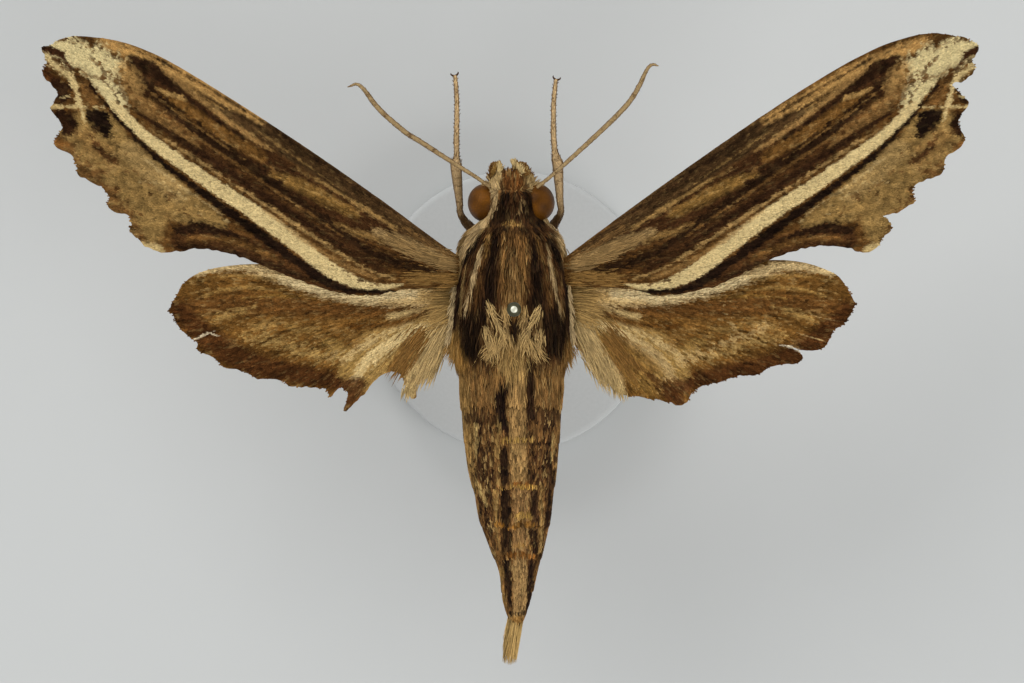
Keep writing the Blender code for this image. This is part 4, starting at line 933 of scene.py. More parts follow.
HINDWING_MARGINS: dict[Side, Path] = {
    Side.LEFT: (
        (4, 1.9), (8, 2.1), (12, 2.6), (16, 3.3), (19.5, 3.5), (22, 3.3), (23.5, 2.95), (24.6, 2.4),
        (25.3, 1.6), (26.1, 0), (25.9, -0.35), (25.2, -1.5), (24.5, -2.1), (23.9, -2.5), (23.9, -3.1),
        (22.6, -3.7), (22, -4.3), (20.5, -4.6), (19.4, -5.2), (17.6, -5.3), (17, -5.75), (15.5, -5.85),
        (14.2, -5.95), (14, -6.6), (13.6, -6.2), (13.1, -5.8), (12.6, -6.4), (12.9, -7.7), (12.1, -7),
        (11, -6), (10.6, -5.3), (9.1, -4.65), (8.4, -5.2), (8.1, -6.2), (7.8, -6.7), (7.4, -6.6), (7.4, -5.8),
        (7, -5.2), (6.2, -4), (5, -2.4), (4, -0.8)),
    Side.RIGHT: (
        (3.8, 1.9), (8, 2.1), (12, 2.7), (16, 3.5), (19.5, 3.8), (22, 3.6), (24, 2.9), (24.9, 2.2),
        (25.8, 0.6), (25.7, 0.1), (25, -1), (24.2, -1.5), (23.5, -2.8), (22.1, -3.05), (21.1, -2.8),
        (21.9, -3.4), (21.6, -4), (20, -4.2), (19.1, -4.5), (18.5, -4.9), (17, -5), (15.6, -5.5),
        (14.5, -5.7), (13.4, -6.35), (12.8, -7.2), (11, -6.8), (9.5, -6.6), (8.2, -6.45), (7.3, -5.8),
        (6.2, -4.3), (4.9, -3), (3.8, -0.8)),
}
FOREWING_VEINS: tuple[Path, ...] = (
    ((5.6, 4.05), (12, 9.1), (20, 14.5), (26.5, 18.6)),
    ((5.6, 3.45), (12, 8), (18, 12), (21.5, 14)),
    ((5.6, 2.85), (10, 5.2), (15.5, 8.2), (20.5, 11.4)),
    ((21.5, 14), (21.2, 12.7), (20.5, 11.4)),
    ((15, 10.1), (21, 14.5), (26, 17), (31.5, 20.1)),
    ((21.5, 14), (28, 17.3), (35, 19.7)),
    ((21.5, 14), (27, 16.2), (35, 17.8)),
    ((21.3, 13.2), (27, 14.8), (34.6, 15.3)),
    ((20.9, 12.2), (26, 12.8), (34.2, 12.8)),
    ((20.5, 11.4), (25, 10.6), (32.5, 10.5)),
    ((18.6, 10.2), (22, 9), (30.2, 8.1)),
    ((15.5, 8.2), (19.5, 6.9), (28.5, 6)),
    ((5.6, 2.4), (11, 2.5), (17, 4), (26.8, 5)),
)
HINDWING_VEINS: tuple[Path, ...] = (
    ((5.8, 1.5), (12, 2.1), (19, 2.7), (23.8, 2.3)),
    ((5.8, 0.9), (13, 1.1), (20, 1), (25.5, 0.4)),
    ((13, 1.1), (14, 0.2), (19, -0.5), (25.1, -1.1)),
    ((14, 0.2), (13.4, -0.7), (19, -1.8), (23.6, -2.8)),
    ((13.4, -0.7), (12.2, -1.1), (17, -2.9), (21.6, -4.1)),
    ((5.8, 0.3), (9, -0.5), (14, -2.9), (18.8, -4.8)),
    ((5.8, -0.2), (9, -2.4), (13.2, -5.4)),
    ((5.8, -0.8), (7, -3), (8.2, -5.2)),
)


def all_wings() -> list[Wing]:
    """The four wings, with the hind ones below the front ones."""
    wings = []
    for number, side in enumerate(Side):
        wings.append(Wing("forewing", side, FOREWING_MARGINS[side], FOREWING_VEINS, FOREWING_MARKINGS,
                          WingPlane(), "wing_scales", FOREWING_HAIR, hub=(-2.0, 1.0), scale_count=19000,
                          seed=40 + number))
        hind = LEFT_HINDWING_MARKINGS if side is Side.LEFT else RIGHT_HINDWING_MARKINGS
        wings.append(Wing("hindwing", side, HINDWING_MARGINS[side], HINDWING_VEINS, hind, WingPlane(drop=1.1),
                          "hindwing_scales", HINDWING_HAIR, hub=(3.6, 1.8), scale_count=10500,
                          seed=50 + number))
    return wings


# Rings of the body's skin from tail to face: y, middle x and z, half width, height above and below.
BODY_STATIONS = (
    (-24, 0.12, 24.3, 0.35, 0.35, 0.35), (-23.4, 0.18, 24.3, 0.6, 0.62, 0.6),
    (-22, 0.2, 24.3, 1.03, 1.05, 1), (-20, 0.33, 24.3, 1.38, 1.38, 1.38),
    (-18, 0.22, 24.3, 2.02, 1.85, 1.88), (-16, 0.07, 24.35, 2.62, 2.3, 2.35),
    (-14, 0, 24.45, 2.95, 2.55, 2.65), (-12, -0.12, 24.55, 3.33, 2.8, 2.95),
    (-10, -0.17, 24.6, 3.55, 2.98, 3.12), (-7, -0.2, 24.7, 3.75, 3.12, 3.32),
    (-4.6, -0.2, 24.8, 3.9, 3.1, 3.4), (-3.4, -0.25, 24.85, 4.12, 3.2, 3.55),
    (-2, -0.25, 24.9, 4.3, 3.45, 3.75), (0, -0.18, 25, 4.22, 3.7, 3.95), (2, -0.16, 25, 4.1, 3.75, 4),
    (3.6, -0.18, 25, 4, 3.6, 3.85), (5, -0.2, 25, 3.8, 3.2, 3.5), (5.9, -0.18, 25, 3.3, 2.7, 2.95),
    (6.5, -0.18, 25, 2.6, 2.25, 2.35), (7.2, -0.2, 25, 2.05, 2.15, 2),
    (8.3, -0.22, 25, 1.95, 2.2, 1.95), (9.1, -0.25, 25.1, 1.75, 2, 1.7),
    (9.7, -0.3, 25.3, 1.45, 1.5, 1.5), (10.2, -0.33, 25.6, 1.02, 0.95, 1.05),
    (10.5, -0.35, 25.8, 0.5, 0.4, 0.5),
)
RING_EDGES = (-6.9, -9.9, -13.4, -16.3, -18.8, -21.3)
# The coat down the body: y, lock length, lock width and lift off the skin.
COAT_STATIONS = (
    (-24, 0.36, 0.11, 0.08), (-10, 0.44, 0.12, 0.08), (-7, 0.8, 0.12, 0.12), (-5, 1.3, 0.1, 0.2),
    (-2, 1.7, 0.1, 0.26), (2, 1.4, 0.1, 0.22), (5, 1, 0.1, 0.22), (7, 0.7, 0.1, 0.3),
    (10.5, 0.55, 0.1, 0.35),
)

BODY_MARKINGS = Markings("#5f4324", lie=90.0, seed=71, streak=0.6, speckle=0.45, streak_size=(0.8, 0.1),
                         speckle_size=0.1, glint=0.9, strokes=(
    # The thorax's dark ground, under all that follows.
    Stroke("#4a3018", (6.4, 8.6, 9), ((-0.2, 5), (-0.2, 2.6), (-0.25, -0.4)), 1, 0.4),
    # Abdomen: tan with dark mottling, a pale stripe down the middle and rusty ring edges.
    Stroke("#6d4d29", (8, 7.4, 5.6, 2.6), ((0, -8.4), (-0.2, -10), (0, -16), (0.2, -23)), 1, 0.3),
    Stroke("#7d5b32", (2.2, 2.2), ((-4, -5.9), (3.8, -5.9)), 1, 0.6, 0.4),
    Stroke("#8a6b3c", (0.9, 1.1, 0.8), ((-3.8, -5), (-3.6, -9), (-3.1, -13.6)), 0.9, 0.4),
    Stroke("#7d5c32", (0.7, 0.6), ((3.5, -5), (3.1, -12)), 0.8, 0.4),
    Stroke("#33200f", (1, 1.5, 1), ((-3.3, -8), (-2.4, -8.1), (-1.5, -8)), 0.85, 0.4, 0.45),
    Stroke("#33200f", (1.2, 1.7, 1.2), ((1.4, -8), (2.4, -8), (3.5, -7.9)), 0.85, 0.4, 0.45),
    Stroke("#2d1a0d", (0.4, 0.7, 0.5), ((-2.6, -8.6), (-2.7, -11.6), (-2.4, -13.4)), 0.9, 0.25, 0.4),
    Stroke("#2d1a0d", (0.4, 0.6, 0.5), ((-1.9, -9), (-1.8, -12), (-1.7, -15.4)), 0.9, 0.25, 0.4),
    Stroke("#2d1a0d", (0.5, 0.8, 0.6), ((2.7, -8.5), (2.7, -12), (2.5, -15.8)), 0.9, 0.25, 0.4),
    Stroke("#3a2413", (0.3, 0.6, 0.4), ((1.8, -9.6), (1.8, -11.5), (1.9, -13.2)), 0.85, 0.25, 0.4),
    Stroke("#2d1a0d", (0.4, 0.5, 0.4), ((-2.4, -14.2), (-2, -16), (-1.5, -18.2)), 0.9, 0.25, 0.4),
    Stroke("#2d1a0d", (0.3, 0.5, 0.4), ((2.5, -15.6), (2.1, -17.4), (1.9, -18.9)), 0.8, 0.25, 0.4),
    Stroke("#1e1109", (0.5, 0.9, 0.85, 0.6), ((-0.1, -4.8), (-0.9, -5.9), (-1, -7.2), (-0.75, -8.8)), 1),
    Stroke("#26150b", (0.5, 0.4), ((-0.45, -8.8), (-0.5, -9.6))),
    Stroke("#1e1109", (0.6, 0.8, 0.6), ((-0.75, -10.6), (-0.75, -11.8), (-0.65, -13.1)), 0.95),
    Stroke("#1e1109", (0.7, 0.85, 0.7), ((-0.65, -13.7), (-0.6, -14.9), (-0.55, -16)), 0.95),
    Stroke("#1e1109", (0.8, 0.8), ((-0.55, -16.8), (-0.5, -18))),
    Stroke("#1e1109", (0.5, 0.6, 0.4), ((-0.5, -19.1), (-0.42, -20.9), (-0.3, -22.4)), 0.95, 0.15),
    Stroke("#24140b", (0.7, 0.8, 0.6), ((1.2, -4.2), (1.25, -6), (1.2, -7.9)), 0.95),
    Stroke("#33200f", (0.5, 0.7), ((0.95, -8), (1.1, -9.4)), 0.8, 0.3, 0.3),
    Stroke("#2d1a0d", (0.6, 0.6), ((1.3, -10.1), (1.35, -12.8)), 0.75, 0.3, 0.3),
    Stroke("#24140b", (0.6, 0.7), ((1.55, -13.7), (1.6, -15.8))),
    Stroke("#24140b", (0.6, 0.6), ((1.5, -16.8), (1.55, -18.1))),
    Stroke("#24140b", (0.5, 0.5, 0.3), ((1.3, -19.1), (1.15, -21), (0.95, -22.8)), 0.95, 0.15),
    Stroke("#8d6e42", (1.1, 1.3, 1.3, 1.2), ((0.25, -5.4), (0.25, -8), (0.3, -10.5), (0.4, -13.2)), 0.95,
           0.15),
    Stroke("#82623b", (1.2, 1.2), ((0.5, -13.5), (0.5, -18)), 0.95, 0.15),
    Stroke("#97774a", (1, 1.1, 0.9), ((0.45, -18.9), (0.45, -21), (0.4, -23)), 0.95, 0.12),
    Stroke("#ad915a", (0.2, 0.3, 0.2), ((-2.75, -13), (-2.45, -13.9), (-2.05, -14.7)), 0.9, 0.1),
    Stroke("#a98d57", (0.2, 0.3, 0.16), ((-2.85, -8.7), (-2.9, -10), (-2.85, -11.2)), 0.8, 0.1),
    Stroke("#a98d57", (0.16, 0.24, 0.16), ((2.95, -9.4), (2.9, -10.4), (2.8, -11.4)), 0.8, 0.1),
    Stroke("#9a7a46", (0.3, 0.3, 0.2), ((-1.25, -8.6), (-1.25, -11), (-1.2, -13)), 0.7, 0.1, 0.2),
    Stroke("#8f6f3e", (0.3, 0.3, 0.2), ((2.1, -13.4), (2.05, -15.8), (1.95, -18.2)), 0.8, 0.1, 0.15),
    Stroke("#8f6f3e", (0.3, 0.3, 0.2), ((-1.4, -13.6), (-1.3, -16), (-1.1, -18.6)), 0.8, 0.1, 0.15),
    Stroke("#94733f", (0.3, 0.2), ((-0.95, -19.6), (-0.8, -22.4)), 0.8, 0.1),
    Stroke("#a58552", (-1, -1.1, -0.7), ((-2.2, -6.4), (-2.2, -12), (-1.4, -19)), 0.85, 0.06, 0.8),
    Stroke("#a58552", (-1, -1.1, -0.7), ((2.3, -6.6), (2.3, -12), (1.9, -18)), 0.85, 0.06, 0.7),
    Stroke("#a3803f", (0.1, 0.22, 0.1), ((-1.1, -9.75), (0.3, -9.72), (1.9, -9.75)), 0.85, 0.1),
    Stroke("#bb9144", (0.1, 0.2, 0.2, 0.1), ((-0.9, -13.4), (0, -13.35), (0.8, -13.3), (1.7, -13.4)), 0.9,
           0.08),
    Stroke("#7d4f20", (0.2, 0.26, 0.14), ((0, -13.15), (0.6, -13.05), (1.1, -13.15)), 0.9, 0.1),
    Stroke("#a8843f", (0.3, 0.5, 0.3), ((0.3, -15.55), (0.7, -15.5), (1.15, -15.6)), 0.8),
    Stroke("#75501f", (0.2, 0.4, 0.3, 0.2), ((0, -16.2), (0.6, -16.1), (1.2, -16.2), (2, -16.4)), 0.9, 0.15),
    Stroke("#a06c28", (0.14, 0.24, 0.14), ((-1.4, -16.1), (-0.5, -16.4), (0.2, -16.5)), 0.8, 0.1),
    Stroke("#96703a", (0.2, 0.3, 0.2), ((0, -17.9), (0.6, -17.75), (1.2, -17.9)), 0.85, 0.15),
    Stroke("#6e4519", (0.2, 0.5, 0.5, 0.2), ((-0.8, -18.6), (0, -18.55), (0.8, -18.55), (1.7, -18.7)), 0.9,
           0.15),
    Stroke("#1c1008", (0.16, 0.3, 0.2), ((-0.2, -22.9), (0.3, -23), (0.9, -22.9)), 0.8, 0.1),
    Stroke("#8a6533", (1, 1), ((0.25, -23.6), (0.15, -24.2))),
    # Thorax: nearly black bands each side of a brown middle, with cream lines along the shoulders.
    Stroke("#7d5a30", (1.6, 2.1, 1.7, 1.2), ((-0.1, 5.9), (0, 4), (0, 2), (0, 0.4)), 1, 0.4),
    Stroke("#83633a", (0.3, 0.6, 0.9), ((-0.2, 4.4), (-0.1, 3), (0.1, 0.8)), 0.8, 0.3, 0.2),
    Stroke("#22140a", (0.4, 0.8, 1, 0.9), ((-1.3, 5.6), (-1.65, 3.4), (-1.85, 1.2), (-2.3, -0.2)), 1, 0.4),
    Stroke("#22140a", (0.4, 0.8, 1, 0.9), ((1.4, 5.4), (1.6, 3.4), (1.7, 1.2), (2.2, -0.2)), 1, 0.4),
    Stroke("#22150a", (1.3, 2, 1.5), ((-3.15, -0.2), (-3.3, -1.4), (-3.1, -2.5)), 1, 0.6, 0.25),
    Stroke("#22150a", (1.3, 2, 1.5), ((2.95, 0), (3.2, -1.2), (3, -2.4)), 1, 0.6, 0.25),
    Stroke("#5a3d1e", (0.2, 0.3, 0.2), ((-2.2, 4.6), (-2.5, 2.6), (-2.8, 0.6)), 0.8),
    Stroke("#5a3d1e", (0.2, 0.3, 0.2), ((2.05, 4.6), (2.3, 2.6), (2.6, 0.8)), 0.8),
    Stroke("#7a5a2e", (0.2, 0.34, 0.2), ((-1.7, 5.9), (-1.95, 5.2), (-2.1, 4.2)), 0.85, 0.15),
    Stroke("#74542b", (0.2, 0.34, 0.2), ((1.5, 5.8), (1.75, 5), (1.95, 4)), 0.85, 0.15),
    Stroke("#a57c40", (0.6, 1.2, 1.6), ((-4.5, -1), (-4.5, -2.4), (-4.2, -3.8)), 0.95, 0.5),
    Stroke("#6f4f28", (0.4, 0.9, 1.3), ((4.2, -1), (4.2, -2.4), (4.1, -3.8)), 0.95, 0.5),
    Stroke("#24140b", (0.5, 0.8, 0.6), ((-4.1, 3.2), (-4.2, 1.2), (-4.4, -0.8)), 0.95),
    Stroke("#1f120a", (0.4, 0.7, 0.6), ((3.7, 3.8), (3.95, 1.2), (4.2, -1.4)), 0.95),
    Stroke("#8d7045", (0.9, 1.1, 0.9), ((-3.4, 5.9), (-4, 4.8), (-4.3, 3.4)), 0.95, 0.3),
    Stroke("#7a5f3a", (0.6, 0.9, 0.7), ((3.2, 6), (3.7, 5), (4, 3.6)), 0.95, 0.3),
    Stroke("#190f09", (0.3, 0.5, 0.4), ((-2.7, 5.3), (-3.2, 4.6), (-3.7, 3.8)), 0.95, 0.15),
    Stroke("#190f09", (0.3, 0.6, 0.4), ((2.55, 5.4), (3, 4.6), (3.3, 3.6)), 0.95, 0.15),
    Stroke("#8f7448", (0.12, 0.2, 0.12), ((-3.5, 3.4), (-3.75, 1.8), (-3.9, 0.2)), 0.85, 0.1),
    Stroke("#b89d70", (0.14, 0.3, 0.26, 0.16), ((-2.3, 5), (-2.75, 3.4), (-3.2, 1.6), (-3.6, 0.2)), 0.95,
           0.08),
    Stroke("#ab9065", (0.14, 0.28, 0.24, 0.16), ((2.4, 5), (2.75, 3.2), (3.05, 1.6), (3.35, 0.2)), 0.95,
           0.08),
    Stroke("#c2a97c", (0.3, 0.3, 0.34, 0.4), ((-4.4, 3.4), (-4.55, 1.6), (-4.8, -0.4), (-5.2, -2.4)), 0.95,
           0.1),
    Stroke("#bda377", (0.3, 0.3, 0.3, 0.34), ((4, 3.6), (4.2, 1.6), (4.45, -0.4), (4.7, -2.4)), 0.95, 0.1),
    Stroke("#7a5a30", (1.2, 1.2), ((-4.4, -4.4), (4.2, -4.4)), 0.9, 0.5, 0.4),
    Stroke("#a5844f", (0.8, 1.8, 2.4, 1.8), ((0, -1.6), (0, -2.4), (0, -3.4), (0.2, -4.4)), 0.9, 0.4, 0.4),
    Stroke("#190f09", (0.5, 0.5, 0.12), ((0, -0.5), (0, -1.2), (-0.05, -2.2)), 0.95, 0.12),
    Stroke("#8f7045", (0.14, 0.2, 0.14), ((-1.9, 0.5), (-1.7, -0.7), (-1.2, -1.8)), 0.95, 0.1),
    Stroke("#8f7045", (0.14, 0.2, 0.14), ((2, 0.4), (1.75, -0.7), (1.2, -1.8)), 0.95, 0.1),
    Stroke("#ac8c5c", (0.14, 0.24, 0.2), ((-0.7, 0.3), (-0.6, -0.7), (-0.35, -1.5)), 0.9, 0.1),
    Stroke("#ac8c5c", (0.14, 0.24, 0.2), ((0.85, 0.2), (0.7, -0.8), (0.4, -1.6)), 0.9, 0.1),
    Stroke("#8f7045", (0.2, 0.26, 0.2), ((-0.8, -1.8), (-1.5, -2.8), (-2.4, -3.8)), 0.95, 0.1),
    Stroke("#8f7045", (0.2, 0.26, 0.2), ((0.8, -1.8), (1.5, -2.8), (2.4, -3.8)), 0.95, 0.1),
    Stroke("#4a2f17", (0.8, 0.9), ((-1.7, -3.4), (-1.9, -4.2)), 0.8, 0.3, 0.2),
    Stroke("#24150b", (0.5, 0.7, 0.6), ((1.1, -3.2), (1.3, -4), (1.2, -4.9)), 0.85, 0.2, 0.2),
    # Head: black crown, red-brown face and cream tufts by the feelers.
    Stroke("#281809", (1.2, 1.2, 1), ((-1, 6.9), (-0.8, 7.6), (-0.5, 8.5)), 1),
    Stroke("#281809", (1.1, 1.3, 1.3), ((1.6, 6.7), (1.2, 7.6), (0.8, 8.4)), 1),
    Stroke("#2b190c", (1.4, 1.6), ((0.1, 7.5), (0.1, 8.2)), 1),
    Stroke("#4a3018", (0.5, 0.8, 0.7), ((0, 7.5), (0.1, 8), (0.1, 8.8)), 0.6, 0.3),
    Stroke("#8a6f48", (0.14, 0.4, 0.2), ((0.3, 7.2), (0.55, 7.7), (0.6, 8.3)), 0.7, 0.1, 0.3),
    Stroke("#a07e48", (0.2, 0.5, 0.2), ((-0.7, 6.4), (-0.1, 6.6), (0.4, 6.45)), 0.95, 0.2, 0.2),
    Stroke("#24150a", (0.3, 0.4, 0.3), ((-1.6, 6.05), (0, 6.1), (1.7, 5.95))),
    Stroke("#4a3018", (1.2, 1.3, 0.8), ((-0.1, 5.6), (-0.1, 5), (0, 4)), 0.55, 0.5),
    Stroke("#66401d", (1, 1.7, 1.3), ((-0.05, 9.3), (-0.05, 9.6), (-0.15, 10)), 1, 0.2, 0.2),
    Stroke("#b89c6a", (0.8, 1, 0.8), ((-2, 8.9), (-1.5, 9.5), (-1.3, 10.3)), 1),
    Stroke("#b89c6a", (0.7, 0.9), ((1.9, 9), (1.4, 9.5)), 1),
    Stroke("#9c7b47", (0.4, 0.5), ((0.5, 10.5), (1, 10.1))),
    Stroke("#b89c6e", (0.5, 0.4, 0.4, 0.6, 0.6, 0.5), ((-1.55, 9.2), (-1.4, 8.3), (-1.75, 7.4),
           (-2.3, 6.55), (-3.1, 5.5), (-4.1, 4.1)), 0.95, 0.1),
    Stroke("#b09466", (0.4, 0.24, 0.26, 0.34, 0.44, 0.4), ((1.5, 9.1), (1.8, 8.3), (2.1, 7.6), (2.6, 6.8),
           (3.3, 5.7), (3.95, 3.8)), 0.95, 0.1),
))


@dataclass(frozen=True)
class HairRow:
    """Locks of hair rooted along a plan path, which comb from one direction to another."""

    path: Path
    count: int
    length: tuple[float, float]
    colour: str
    ways: tuple[tuple[float, float], tuple[float, float]]
    width: float = 0.11
    lift: float = 0.12
    band: float = 0.12  # how far the roots stray from the path
    spread: float = 0.12
    rise: float = 0.0

    def locks(self, level: PlanMeasure, sign: int, unwrap: PlanMeasure, rng: np.random.Generator) -> Locks:
        """Grows the row.

        Args:
            level: gives the surface's height at plan points.
            sign: the side's sign along X, or 1 where the path is in true X.
            unwrap: gives the bake map's places of plan points.
            rng: the seeded source of chance.

        Returns:
            The row's locks.
        """
        share = rng.random(self.count)
        path = smooth_path(np.array(self.path), 5)
        spots = np.linspace(0, 1, len(path))
        points = np.stack([np.interp(share, spots, path[:, k]) for k in (0, 1)], axis=1)
        points += rng.normal(0, self.band, points.shape)
        way = unit(np.array(self.ways[0]) * (1 - share[:, None]) + np.array(self.ways[1]) * share[:, None])
        way = unit(way + rng.normal(0, self.spread, way.shape))
        length = rng.uniform(*self.length, self.count)
        height = level(points) + self.rise
        fall = level(points + way * length[:, None] * 0.6) + self.rise - height
        slope = np.clip(fall / (length * 0.6), -1.2, 1.2) + self.lift + rng.normal(0, 0.05, self.count)
        ways = unit(np.stack([way[:, 0] * sign, way[:, 1], slope], axis=1))
        roots = np.stack([points[:, 0] * sign, points[:, 1], height], axis=1)
        shades = linear(self.colour) * rng.uniform(0.55, 1.25, (self.count, 1))
        ups = np.tile((0.0, 0.0, 1.0), (self.count, 1))
        widths = self.width * rng.uniform(0.7, 1.2, self.count)
        return Locks(roots, ways, ups, length, widths, shades, unwrap(points))


FOREWING_HAIR = (
    HairRow(((4.2, 3.3), (6, 4), (8.6, 5)), 420, (0.8, 1.7), "#9c7d4e", ((1, 0.1), (1, 0.45)), 0.075, 0.03,
            0.28, 0.09),
    HairRow(((4.2, 3.7), (6.5, 5.1), (8, 6.1)), 180, (0.4, 0.8), "#7a5a32", ((1, 0.55), (1, 0.6)), 0.07, 0.02,
            0.12, 0.05),
    HairRow(((4.2, 2.3), (6, 2.5), (7.2, 2.4)), 260, (0.7, 1.4), "#94703c", ((1, 0), (1, 0)), 0.07, 0.03,
            0.25, 0.08),
)
HINDWING_HAIR = (
    HairRow(((4.4, 1.4), (4.8, 0.4), (4.8, -0.6)), 420, (1, 2.2), "#bb985c", ((1, 0.05), (1, -0.5)), 0.075,
            0.03, 0.3, 0.09),
    HairRow(((4.8, -0.8), (5.6, -2.4), (6.6, -4.2)), 560, (1.2, 2.2), "#c7aa74", ((0.6, -1), (0.4, -1)),
            0.075, 0.05, 0.35, 0.1),
    HairRow(((6.8, -1.2), (7.6, -2.6), (8.4, -4)), 240, (1, 1.8), "#8f6835", ((0.9, -1), (0.6, -1)), 0.07,
            0.04, 0.4, 0.1),
    HairRow(((7.2, -4.6), (7.7, -5.4), (8.1, -6)), 120, (0.6, 1.1), "#c0a46e", ((0.1, -1), (0.2, -1)), 0.07,
            0.04, 0.2, 0.1),
)
